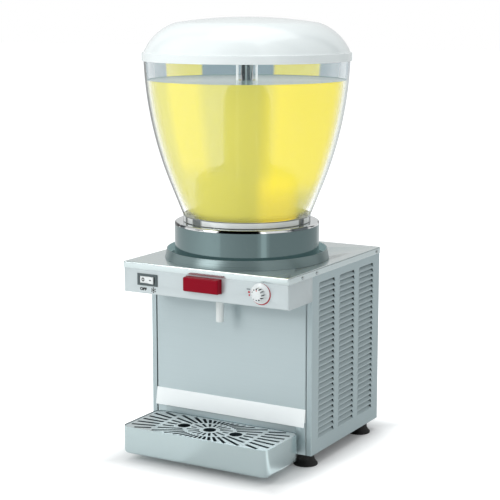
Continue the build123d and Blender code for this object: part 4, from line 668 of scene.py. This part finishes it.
def make_bowl_inside():
    material = clear_plastic("bowl inside", (226, 233, 236), 0.03, 0.5, 0.75, full=0.92)
    n, l = material.node_tree.nodes, material.node_tree.links
    shader = n["Principled BSDF"]
    turn, height = turn_height(n)
    # Painted reflections: four yellow upright bands over the drink.
    reflected = band(n, l, turn, reflection_bands, 0.002)
    over = rise(n, l, height, (level - 2) * mm, (level - 1) * mm)
    plain = shader.inputs["Base Color"].links[0].from_socket
    tone = blend_tones(n, l, reflected, (132, 160, 172), (255, 242, 112))
    colour = blend_tones(n, l, over, plain, tone)
    l.new(colour, shader.inputs["Base Color"])
    # Painted glow over the whole inner face.
    l.new(colour, shader.inputs["Emission Color"])
    shader.inputs["Emission Strength"].default_value = 0.42
    side = n.new("ShaderNodeNewGeometry")
    path = n.new("ShaderNodeLightPath")
    unseen = calc(n, l, "MAXIMUM", path.outputs["Is Shadow Ray"],
                  calc(n, l, "MAXIMUM", path.outputs["Is Diffuse Ray"],
                       path.outputs["Is Glossy Ray"]))
    near = calc(n, l, "MAXIMUM", side.outputs["Backfacing"], unseen)
    across = calc(n, l, "SUBTRACT", 1.0, near)
    edge_on = n.new("ShaderNodeLayerWeight")
    edge_on.inputs["Blend"].default_value = 0.5
    strength = rise(n, l, edge_on.outputs["Facing"], 0.1, 0.8, 0.88, 0.5)
    veil = calc(n, l, "MULTIPLY", calc(n, l, "MULTIPLY", over, across), strength)
    alpha = shader.inputs["Alpha"].links[0].from_socket
    l.new(calc(n, l, "MAXIMUM", alpha, veil), shader.inputs["Alpha"])
    return material


bowl_inside = make_bowl_inside()

# %% [markdown]
# The bowl has a wall of 3.5 mm. Its section goes up the outside, over the rim and down the
# inside to the foot, which stands on the deck round the floor. Faces that look towards the axis
# get the inside finish.


# %% Bowl
def tangent_arc(first, last, slope, count=20):
    """Points of the arc from first to last that leaves first along a slope."""
    a, b, t = Vector(first), Vector(last), Vector(slope).normalized()
    side = Vector((-t.y, t.x))
    reach = b - a
    radius = reach.length_squared / (2 * reach.dot(side))
    centre = a + side * radius
    spoke, end = a - centre, b - centre
    sweep = spoke.angle_signed(end)
    points = []
    for i in range(count + 1):
        turned = spoke.copy()
        turned.rotate(Matrix.Rotation(-sweep * i / count, 2))
        points.append(tuple(centre + turned))
    return points


wall, edge, lip = 3.5, 0.6, 0.8
foot_radius = 113.7
waist_radius, waist_height = 134.7, 64.2
mouth_radius, mouth_height = 180.8, 279.5
rim_height = 294.2
inner_foot, inner_mouth = foot_radius - wall, mouth_radius - wall
slope = (waist_radius - foot_radius, waist_height - foot_height)
outer_curve = tangent_arc((waist_radius, waist_height), (mouth_radius, mouth_height), slope)
inner_curve = tangent_arc((waist_radius - wall, waist_height), (inner_mouth, mouth_height), slope)
bowl_section = (
    [(inner_foot, edge), (inner_foot + edge, 0), (foot_radius - edge, 0), (foot_radius, edge),
     (foot_radius, foot_height)] + outer_curve
    + [(mouth_radius, rim_height - lip), (mouth_radius - lip, rim_height),
       (inner_mouth + lip, rim_height), (inner_mouth, rim_height - lip)]
    + inner_curve[::-1] + [(inner_foot, foot_height), (inner_foot, edge)]
)
centre = (0, axis_y, deck)
spin_section([(r * mm, h * mm) for r, h in bowl_section], centre, steps=256)
bowl_shell = finish_piece("bowl_shell", "bowl", bowl_outside, ("bowl",), smooth=50)
paint_faces(bowl_shell, bowl_inside, looks_in)
soften("bowl_floor", "bowl", floor_clear, 0.0004)


# %% [markdown]
# The drink is cloudy: its outer face lets a third of the light pass and gives the rest back as
# yellow, with a painted glow. In upright bands that match the wall's painted reflections, it is
# painted brighter and denser, and towards its outline it thins out to clear. Round the cooling cup
# and the stirrer it lies in shade. That inner face is painted shade: a darker, denser yellow with
# a stronger painted glow and a painted brighter patch low on its right.

# %% Cloudy drink
left_reflection = [(0.434, 0.522)]
right_reflection = [(0.6, 0.8)]


def make_drink(name, tone, reflection_tone, body, reflection_body, fade, left_span, right_span, glow):
    material = bpy.data.materials.new(name)
    material.use_nodes = True
    n, l = material.node_tree.nodes, material.node_tree.links
    shader = n["Principled BSDF"]
    shader.inputs["Roughness"].default_value = 0.35
    shader.inputs["Specular IOR Level"].default_value = 0.2
    turn, height = turn_height(n)
    coordinates = n.new("ShaderNodeTexCoord")
    drift = n.new("ShaderNodeTexNoise")
    drift.inputs["Scale"].default_value = 7.0
    drift.inputs["Detail"].default_value = 3.0
    l.new(coordinates.outputs["Object"], drift.inputs["Vector"])
    # Painted reflections: brighter, denser bands of yellow.
    left = calc(n, l, "MULTIPLY", band(n, l, turn, left_reflection, 0.02),
                rise(n, l, height, *left_span, 0.0, 0.42))
    right = calc(n, l, "MULTIPLY", band(n, l, turn, right_reflection, 0.035),
                 rise(n, l, height, *right_span))
    reflected = calc(n, l, "MAXIMUM", left, right)
    cloud = blend_tones(n, l, drift.outputs["Fac"], tone, tuple(v - 8 for v in tone))
    colour = blend_tones(n, l, reflected, cloud, reflection_tone)
    l.new(colour, shader.inputs["Base Color"])
    shaded = tuple(value * 0.66 for value in tone)
    l.new(blend_tones(n, l, reflected, shaded, reflection_tone), shader.inputs["Emission Color"])
    # Painted glow.
    shader.inputs["Emission Strength"].default_value = glow
    facing = n.new("ShaderNodeLayerWeight")
    facing.inputs["Blend"].default_value = 0.5
    thin = rise(n, l, facing.outputs["Facing"], fade[0], fade[1], 1.0, 0.0)
    strength = rise(n, l, reflected, 0.0, 1.0, body, reflection_body)
    l.new(calc(n, l, "MULTIPLY", thin, strength), shader.inputs["Alpha"])
    return material


drink_outside = make_drink("drink", (236, 228, 98), (255, 236, 60), 0.66, 0.84, (0.5, 0.97),
                           (0.07, 0.12), (0.03, 0.09), 0.3)
drink_shade = make_drink("drink in shade", (196, 189, 62), (226, 200, 34), 0.9, 0.96,
                         (0.25, 0.97), (2.0, 3.0), (0.1, 0.07), 0.85)
# The surface is grey-blue and has a painted glow.
drink_top = moulded("drink surface", (86, 116, 124), (98, 122, 122), 0.06, 0.12)
adjust(drink_top, {"Emission Color": tint(140, 168, 174), "Emission Strength": 0.4,
                   "Alpha": 0.9, "Specular IOR Level": 0.08})

# %% [markdown]
# The drink fills the bowl to 4.5 cm under the rim, with a small meniscus at the wall. Its
# foot is chamfered, since the clear ring below it is empty to the eye. It is contents, so it
# has no solid of its own and rides on the bowl.

# %% Drink
gap = 0.4
cup_radius, drink_floor = 94, 8.4
tube_radius, surface = 20.5, level - 0.5
stirrer_radius, stirrer_foot = 43, 106
below = [p for p in inner_curve if p[1] < level][-1]
above = [p for p in inner_curve if p[1] >= level][0]
share = (level - below[1]) / (above[1] - below[1])
surface_radius = below[0] + (above[0] - below[0]) * share - gap
chamfer = [(cup_radius, drink_floor), (97, drink_floor), (105, 13), (114, 25)]
fill = [(r - gap, h) for r, h in inner_curve if h < level - 3]
meniscus = [(surface_radius - 0.1, level - 0.4), (surface_radius, level + 0.8),
            (surface_radius - 2.2, level + 0.1), (surface_radius - 5, surface)]
round_tube = arc((tube_radius, surface), (32, level - 10), (stirrer_radius, level - 40), 8)
round_stirrer = arc((stirrer_radius, stirrer_foot), (45.3, 95), (51, 88), 6)
round_cup = arc((58, 92), (85, 87), (cup_radius, 62), 16)
drink_section = (chamfer + fill + meniscus + round_tube + round_stirrer + round_cup
                 + [(cup_radius, drink_floor)])
spin_section([(r * mm, h * mm) for r, h in drink_section], centre, steps=128)
drink = finish_piece("drink", "bowl", drink_outside, smooth=50)
paint_faces(drink, drink_shade, looks_in)
paint_faces(drink, drink_top,
            lambda face: is_level(face) and face.center.z > deck + (level - 3) * mm)

# %% [markdown]
# ## The lid and the neck
# The lid is a moulded dome with a straight skirt and a ledge that sits on the rim.

# %% Lid
brow_radius, brow_height = 125.3, 347.8
crown_height, lid_wall = 357.7, 2.9
skirt_radius, skirt_inner, skirt_foot = 184.1, 181.2, 282.3
shoulder = arc((180.9, 297.6), (162.6, 324.5), (brow_radius, brow_height), 18)
crown = arc((brow_radius, brow_height), (69.3, 354.69), (0, crown_height), 14)
inner_brow = (brow_radius, brow_height - lid_wall)
inner_shoulder = arc((inner_mouth, rim_height), (160.57, 322.47), inner_brow, 14)
inner_crown = arc(inner_brow, (69.3, 351.79), (0, crown_height - lid_wall), 10)
skirt = [(skirt_inner, skirt_foot + 0.4), (skirt_inner + 0.4, skirt_foot),
         (skirt_radius - 0.5, skirt_foot), (skirt_radius, skirt_foot + 0.5),
         (skirt_radius, 296.0), (skirt_radius - 0.6, 296.7), (181.4, 297.0)]
lid_inside = inner_shoulder + inner_crown[1:]
lid_section = lid_inside[::-1] + [(skirt_inner, rim_height)] + skirt + shoulder + crown[1:]
spin_section([(r * mm, h * mm) for r, h in lid_section], centre, steps=160)
finish_piece("lid_shell", "lid", lid_white, ("lid",), smooth=24)

# %% [markdown]
# A polished deck ring, a brushed drum and a gutter collar that leans in. All three are spun.
# The deck's lip is rounded over, and the drum and the collar have their edges broken by a small
# chamfer that draws a bright line.

# %% Deck ring, neck drum and drip collar
deck_hole, deck_sheet = 67.5, 2
neck_radius, neck_inner, neck_height = 129.1, 126.1, 60.9
lip_round, lip_sheet = 4, 1.5
deck_section = (
    [(deck_hole, -deck_sheet), (deck_hole, 0)]
    + arc((neck_radius - lip_round, 0), (127.93, -1.17), (neck_radius, -lip_round), 10)
    + [(neck_radius, -5), (neck_radius - lip_sheet, -5), (neck_radius - lip_sheet, -lip_round),
       (124.6, -deck_sheet), (deck_hole, -deck_sheet)]
)
spin_section([(r * mm, h * mm) for r, h in deck_section], centre, steps=160)
finish_piece("deck_shell", "cabinet", deck_steel, ("deck_ring",), smooth=40)

base = (0, axis_y, cover)
drum_section = [(neck_inner, 0), (neck_radius, 0), (neck_radius, neck_height - 0.2),
                (neck_radius - 0.3, neck_height), (neck_inner, neck_height), (neck_inner, 0)]
spin_section([(r * mm, h * mm) for r, h in drum_section], base, steps=160)
finish_piece("neck_shell", "cabinet", neck_steel, ("neck_drum",), smooth=40)

collar_hole, collar_foot, collar_lip = 129.4, 146.7, 143.3
collar_height, collar_sheet, break_edge = 17.0, 1.2, 0.3
collar_section = [
    (collar_hole, 0), (collar_foot - break_edge, 0), (collar_foot, break_edge),
    (collar_lip, collar_height - break_edge), (collar_lip - break_edge, collar_height),
    (142.3, collar_height), (142.0, collar_height - break_edge), (145.2, collar_sheet + 0.6),
    (144.6, collar_sheet), (collar_hole, collar_sheet), (collar_hole, 0)]
spin_section([(r * mm, h * mm) for r, h in collar_section], base, steps=160)
collar = finish_piece("collar_shell", "cabinet", collar_steel, ("drip_collar",), smooth=40)
paint_faces(collar, gutter_steel, looks_in)

# %% [markdown]
# ## The cabinet, the tray and the controls
# The louvred sides and the slotted back keep their solid mesh, which already has every pressed
# slot. The other sheet pieces and mouldings are merged copies, all rounded except the tray and its
# grille. The tray's hollow, the walls of the grille's slots and the groove round the knob are
# painted darker: painted shade in these recesses.

# %% Sheet pieces and controls
tray_y = sum(corner[1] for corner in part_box("drip_tray")) / 2
tray_floor = 0.03
knob_low, knob_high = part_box("thermostat_knob")
knob_x = (knob_low[0] + knob_high[0]) / 2
knob_z = (knob_low[2] + knob_high[2]) / 2
groove_inner, groove_outer = 0.0085, 0.0104


def refinish(node, material):
    nodes[node].data.materials.clear()
    nodes[node].data.materials.append(material)


def in_tray(face):
    inward = face.normal.x * face.center.x + face.normal.y * (face.center.y - tray_y) < 0
    return face.center.z < tray_floor and is_level(face) or is_upright(face) and inward


def in_groove(face):
    from_axis = Vector((face.center.x - knob_x, 0, face.center.z - knob_z)).length
    return groove_inner < from_axis < groove_outer and abs(face.normal.y) < 0.5


soften("control_box", "cabinet", fascia_steel, 0.0003)
soften("top_cover", "cabinet", cover_steel, 0.00015, 1)
soften("front_panel", "cabinet", cabinet_steel, 0.0003)
soften("splash_plate", "cabinet", splash_steel, 0.0003)
for node in ("side_panel_left", "side_panel_right", "back_panel"):
    refinish(node, louvre_steel)
tray = soften("drip_tray", "tray", tray_steel, 0.0)
paint_faces(tray, tray_painted_shade, in_tray)
grille = soften("drip_grille", "grille", grille_steel, 0.0)
paint_faces(grille, tray_painted_shade, is_upright)
soften("tray_hanger", "cabinet", cabinet_steel, 0.0002)
soften("dispense_button", "button", button_red, 0.0005, 3)
soften("switch_body", "cabinet", bezel_grey, 0.0003)
soften("rocker", "rocker", rocker_white, 0.0004)
knob = soften("thermostat_knob", "knob", knob_white, 0.0004)
paint_faces(knob, groove_painted_shade, in_groove)
soften("drink_tube", "cabinet", silicone, 0.0004)
soften("cover_screws", "cabinet", screw_steel, 0.0003)
soften("panel_screws", "cabinet", screw_steel, 0.0003)
soften("cable_gland", "cabinet", dark_plastic, 0.0004)
soften("feet", "cabinet", rubber_black, 0.0006)
soften("stirrer", "stirrer", stirrer_clear, 0.0004)
soften("drive_shaft", "stirrer", polished_steel, 0.0003)
soften("evaporator", "cabinet", chimney_steel, 0.0004)

# %% [markdown]
# The return spring's solid is the sleeve that its coils fill. Here it is a real coil: a small
# circle screwed about the Y axis. The real spring shortens towards its back end as the button goes
# in; this coil keeps its length.

# %% Return spring
spring_low, spring_high = (Vector(corner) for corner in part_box("return_spring"))
spring_x = (spring_low.x + spring_high.x) / 2
spring_z = (spring_low.z + spring_high.z) / 2
spring_length = spring_high.y - spring_low.y
spring_turns, wire_radius = 6, 0.0005
start_clean()
bpy.ops.mesh.primitive_circle_add(vertices=10, radius=wire_radius, rotation=(radians(90), 0, 0))
spring = bpy.context.object
bpy.ops.object.transform_apply(location=False, rotation=True, scale=False)
spring.data.transform(Matrix.Translation(((spring_high.x - spring_low.x) / 2 - wire_radius, 0, 0)))
coil = spring.modifiers.new("coil", "SCREW")
coil.steps = coil.render_steps = 24
coil.iterations = spring_turns
coil.screw_offset = (spring_length - 2 * wire_radius) / spring_turns
bpy.ops.object.modifier_apply(modifier="coil")
bpy.ops.object.mode_set(mode="EDIT")
bpy.ops.mesh.select_all(action="SELECT")
bpy.ops.mesh.remove_doubles(threshold=weld_gap)
bpy.ops.mesh.select_non_manifold(extend=False, use_wire=False, use_multi_face=False,
                                 use_non_contiguous=False, use_verts=False)
bpy.ops.mesh.edge_face_add()
bpy.ops.mesh.select_all(action="SELECT")
bpy.ops.mesh.normals_make_consistent(inside=False)
bpy.ops.object.mode_set(mode="OBJECT")
spring.rotation_euler = (radians(-90), 0, 0)
spring.location = (spring_x, spring_low.y + wire_radius, spring_z)
spring_coil = finish_piece("spring_coil", "cabinet", screw_steel, ("return_spring",), smooth=60)
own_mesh(spring_coil)

# %% [markdown]
# Pieces that are hidden, or nearly so, keep their solid mesh and get the finish of their kind.

# %% Finishes for the inner pieces
inner_finishes = {
    "base_pan": galvanised, "foam_core": foam_yellow, "foam_plug": foam_yellow,
    "evaporator_coil": copper, "bowl_gasket": silicone, "outlet_socket": inner_plastic,
    "valve_bracket": galvanised, "pinch_yoke": dark_plastic,
    "shaft_bush": inner_plastic, "gear_motor": dark_plastic, "motor_bracket": galvanised,
    "thermostat_body": inner_plastic, "knob_shaft": polished_steel,
    "terminal_block": inner_plastic, "compressor": black_enamel,
    # The condenser and the baffle over it are near black: painted shade, so that the louvres look
    # dark inside as in a full cabinet.
    "compressor_mounts": rubber_black, "condenser": dark_fins,
    "condenser_baffle": black_enamel, "fan_shroud": galvanised, "fan": dark_plastic,
    "fan_motor": black_enamel, "fan_motor_bracket": galvanised, "discharge_pipe": copper,
    "filter_drier": copper, "capillary_tube": copper, "suction_pipe": copper,
}
for node, material in inner_finishes.items():
    refinish(node, material)
print("inner nodes with a finish:", len(inner_finishes))

# %% [markdown]
# Printed marks are thin letters and shapes that lie on a surface. The surface is found by
# looking at the finished piece from the front, so that a mark on the tilted rocker tilts too.

# %% Finding a surface from the front
def surface_at(node, x, z):
    bpy.context.view_layer.update()
    skin = bpy.data.objects[node + "_skin"]
    _, place, normal, _ = skin.ray_cast(Vector((x, -0.5, z)), Vector((0, 1, 0)))
    return place, normal


def lay_on(node, x, z, lift=0.00006):
    place, normal = surface_at(node, x, z)
    return place + normal * lift, normal.to_track_quat("Z", "Y").to_euler()


# %% Letters
def lettering(name, text, node, x, z, height, width, body, material):
    start_clean()
    place, turn = lay_on(node, x, z)
    bpy.ops.object.text_add(location=place, rotation=turn)
    letters = bpy.context.object
    letters.data.body = text
    letters.data.align_x = "CENTER"
    letters.data.align_y = "CENTER"
    letters.data.offset = 0.065
    letters.data.extrude = 0.00005 / height
    bpy.ops.object.convert(target="MESH")
    letters = bpy.context.object
    bpy.ops.object.origin_set(type="ORIGIN_GEOMETRY", center="BOUNDS")
    letters.location = place
    size = letters.dimensions
    letters.scale = (width / size.x, height / size.y, height)
    bpy.ops.object.mode_set(mode="EDIT")
    bpy.ops.mesh.select_all(action="SELECT")
    bpy.ops.mesh.remove_doubles(threshold=weld_gap)
    bpy.ops.mesh.normals_make_consistent(inside=False)
    return finish_piece(name, body, material, smooth=0)


switch_low, switch_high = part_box("switch_body")
switch_x = (switch_low[0] + switch_high[0]) / 2
switch_z = (switch_low[2] + switch_high[2]) / 2
switch_foot = switch_low[2]
lettering("off_letters", "OFF", "control_box", switch_x - 0.0088, switch_foot - 0.0063,
          0.0055, 0.0144, "cabinet", print_dark)
lettering("rocker_ring", "O", "rocker", switch_x - 0.0091, switch_z, 0.0068, 0.006, "rocker",
          print_dark)
lettering("rocker_dash", "-", "rocker", switch_x + 0.0072, switch_z, 0.0016, 0.005, "rocker",
          print_dark)


# %% [markdown]
# The cold mark is a snow crystal of three crossed bars, a third of a half turn apart. Each bar
# has four small barbs.

# %% Snow crystal
def flat_bar(x, z, length, width, angle, node, thickness=0.0001, depth=None):
    place, _ = surface_at(node, x, z) if depth is None else (Vector((x, depth, z)), None)
    bpy.ops.mesh.primitive_cube_add(
        size=1, location=(x, place.y - thickness / 2, z), rotation=(0, radians(angle), 0))
    bar = bpy.context.object
    bar.scale = (length, thickness, width)
    return bar


start_clean()
crystal_x, crystal_z, crystal_radius = switch_x + 0.0123, switch_foot - 0.0068, 0.0051
bars = []
for turn in (30, 90, 150):
    bars.append(flat_bar(crystal_x, crystal_z, 2 * crystal_radius, 0.0011, turn, "control_box"))
    for end in (1, -1):
        for lean in (45, -45):
            out = 0.62 * crystal_radius * end
            along = (cos(radians(turn)) * out, -sin(radians(turn)) * out)
            barb = 0.00095 * end
            tip = radians(turn + lean)
            bars.append(flat_bar(
                crystal_x + along[0] + cos(tip) * barb, crystal_z + along[1] - sin(tip) * barb,
                0.0021, 0.0009, turn + lean, "control_box"))
bpy.ops.object.select_all(action="DESELECT")
for bar in bars:
    bar.select_set(True)
bpy.context.view_layer.objects.active = bars[0]
bpy.ops.object.join()
finish_piece("snow_crystal", "cabinet", print_dark, smooth=0)

# %% [markdown]
# The dial's scale is a red disc behind the knob, of which a thin rim shows, two red marks and
# a grey index bar. They are flat, so a thin cylinder and thin cubes do.

# %% Marks round the knob
scale_radius, scale_depth = 0.0187, 0.00015
scale_place = (knob_x + 0.0006, fascia - scale_depth / 2, knob_z - 0.001)
start_clean()
bpy.ops.mesh.primitive_cylinder_add(vertices=96, radius=scale_radius, depth=scale_depth,
                                    location=scale_place, rotation=(radians(90), 0, 0))
finish_piece("dial_scale", "cabinet", print_red)
for name, x, z, length, width, material in (
    ("dial_mark_upper", -0.0223, 0.0002, 0.004, 0.003, print_red),
    ("dial_mark_lower", -0.0218, -0.005, 0.0026, 0.003, print_red),
    ("dial_index", -0.0233, 0.0052, 0.007, 0.0022, print_grey),
):
    start_clean()
    flat_bar(knob_x + x, knob_z + z, length, width, 0, None, 0.0001, fascia)
    finish_piece(name, "cabinet", material, smooth=0)

# %% [markdown]
# A small red dot on the knob's face shows where it points.

# %% Pointer dot on the knob
dot_radius, dot_depth = 0.0011, 0.0002
start_clean()
dot_place, _ = surface_at("thermostat_knob", knob_x, knob_z + 0.0072)
bpy.ops.mesh.primitive_cylinder_add(vertices=32, radius=dot_radius, depth=dot_depth,
                                    location=dot_place - Vector((0, dot_depth / 2, 0)),
                                    rotation=(radians(90), 0, 0))
finish_piece("knob_dot", "knob", print_red)

# %% [markdown]
# ## Stage, light and camera
# A pale floor takes the soft shadow. To the eye, the floor is lifted to white away from the
# machine, and less under and beside it. That is a painted shadow, which keeps the real one deep
# round the base. Upright steel mirrors the floor, which is darker to it in two stretches of the
# turn, with a bright strip between them.

# %% Floor
half_width, half_depth = 0.15, 0.2
near_lift, far_lift, lift_reach = 0.06, 0.6, 0.08
plain_tone, dark_tone = 0.86, 0.64
dark_stretches = [(0.462, 0.635), (0.672, 0.99)]
bright_strip = [(0.641, 0.668)]
start_clean()
bpy.ops.mesh.primitive_plane_add(size=40, location=(0, 0, 0))
floor = bpy.context.object
floor.name = "floor"
floor_paint = bpy.data.materials.new("floor paint")
floor_paint.use_nodes = True
n, l = floor_paint.node_tree.nodes, floor_paint.node_tree.links
shader = n["Principled BSDF"]
shader.inputs["Roughness"].default_value = 0.9
shader.inputs["Specular IOR Level"].default_value = 0.0
shader.inputs["Emission Color"].default_value = (1, 1, 1, 1)
place = n.new("ShaderNodeTexCoord")
parts = n.new("ShaderNodeSeparateXYZ")
l.new(place.outputs["Object"], parts.inputs[0])
beside = calc(n, l, "SUBTRACT", calc(n, l, "ABSOLUTE", parts.outputs["X"], 0.0), half_width)
before = calc(n, l, "SUBTRACT", calc(n, l, "ABSOLUTE", parts.outputs["Y"], 0.0), half_depth)
reach = calc(n, l, "MAXIMUM", beside, before)
path = n.new("ShaderNodeLightPath")
faint = calc(n, l, "MULTIPLY", path.outputs["Is Glossy Ray"], 0.2)
seen = calc(n, l, "MAXIMUM", path.outputs["Is Camera Ray"],
            calc(n, l, "MAXIMUM", path.outputs["Is Transmission Ray"], faint))
# Painted shadow: less lift close round the machine.
lift = rise(n, l, reach, 0.0, lift_reach, near_lift, far_lift)
turn, _ = turn_height(n)
shade = calc(n, l, "MULTIPLY", path.outputs["Is Glossy Ray"],
             band(n, l, turn, dark_stretches, 0.012))
l.new(rise(n, l, shade, 0.0, 1.0, plain_tone, dark_tone), shader.inputs["Base Color"])
strip = calc(n, l, "MULTIPLY", path.outputs["Is Glossy Ray"],
             band(n, l, turn, bright_strip, 0.003))
l.new(calc(n, l, "ADD", calc(n, l, "MULTIPLY", seen, lift),
           calc(n, l, "MULTIPLY", strip, 0.5)), shader.inputs["Emission Strength"])
floor.data.materials.append(floor_paint)

# %% [markdown]
# The world is a soft fill for plain surfaces, and white to the camera and through clear pieces.
# In polished steel a studio shows as bright panels with dark gaps between them, so mirrors see
# a booth that is pale all round but for four narrow dark gaps and a wide one in front. Beside
# the wide gap is a brighter strip.

# %% World
world = bpy.data.worlds.new("studio")
bpy.context.scene.world = world
world.use_nodes = True
n, l = world.node_tree.nodes, world.node_tree.links
soft = n["Background"]
soft.inputs["Color"].default_value = (0.88, 0.91, 0.92, 1)
soft.inputs["Strength"].default_value = 0.75
white = n.new("ShaderNodeBackground")
white.inputs["Color"].default_value = (1, 1, 1, 1)
booth = n.new("ShaderNodeBackground")
direction = n.new("ShaderNodeTexCoord")
parts = n.new("ShaderNodeSeparateXYZ")
l.new(direction.outputs["Generated"], parts.inputs[0])
turn = turn_from(n, l, parts)
gaps = [(0.19, 0.235), (0.333, 0.362), (0.472, 0.64), (0.767, 0.806), (0.917, 0.958)]
dark = band(n, l, turn, gaps, 0.004)
strip = band(n, l, turn, bright_strip, 0.003)
panels = rise(n, l, dark, 0.0, 1.0, 0.82, 0.02)
strength = n.new("ShaderNodeMath")
strength.operation = "ADD"
l.new(panels, strength.inputs[0])
l.new(strip, strength.inputs[1])
l.new(strength.outputs[0], booth.inputs["Strength"])
path = n.new("ShaderNodeLightPath")
mirrored = n.new("ShaderNodeMixShader")
l.new(path.outputs["Is Glossy Ray"], mirrored.inputs["Fac"])
l.new(soft.outputs["Background"], mirrored.inputs[1])
l.new(booth.outputs["Background"], mirrored.inputs[2])
through = calc(n, l, "MAXIMUM", path.outputs["Is Camera Ray"], path.outputs["Is Transmission Ray"])
backdrop = n.new("ShaderNodeMixShader")
l.new(through, backdrop.inputs["Fac"])
l.new(mirrored.outputs["Shader"], backdrop.inputs[1])
l.new(white.outputs["Background"], backdrop.inputs[2])
l.new(backdrop.outputs["Shader"], n["World Output"].inputs["Surface"])


# %% [markdown]
# Three soft lamps: a large key from the front left, a faint one from the right and one above.

# %% Lamps
def softbox(name, place, aim, size, watts):
    lamp = bpy.data.lights.new(name, "AREA")
    lamp.shape = "RECTANGLE"
    lamp.size, lamp.size_y = size
    lamp.energy = watts
    holder = bpy.data.objects.new(name, lamp)
    bpy.context.scene.collection.objects.link(holder)
    holder.location = place
    holder.rotation_euler = (Vector(aim) - Vector(place)).to_track_quat("-Z", "Y").to_euler()
    return holder


softbox("key", (-1.3, -2.5, 1.9), (0, 0, 0.35), (1.6, 1.6), 38)
softbox("side", (2.4, -0.4, 1.2), (0, 0, 0.4), (1.2, 1.8), 0.6)
softbox("top", (0, 0.2, 2.6), (0, 0, 0.4), (1.6, 1.6), 15)

# %% [markdown]
# The camera looks from in front and from the right, at about the height of the lid.

# %% Camera
camera_place = (1.2398, -2.1590, 0.7991)
camera_aim = (-0.0086, 0.0113, 0.3579)
eye = bpy.data.cameras.new("camera")
eye.lens = 101.04
eye.sensor_width = 36
camera = bpy.data.objects.new("camera", eye)
bpy.context.scene.collection.objects.link(camera)
camera.location = camera_place
look = Vector(camera_aim) - camera.location
camera.rotation_euler = look.to_track_quat("-Z", "Y").to_euler()
bpy.context.scene.camera = camera
bpy.context.scene.view_settings.view_transform = "Standard"
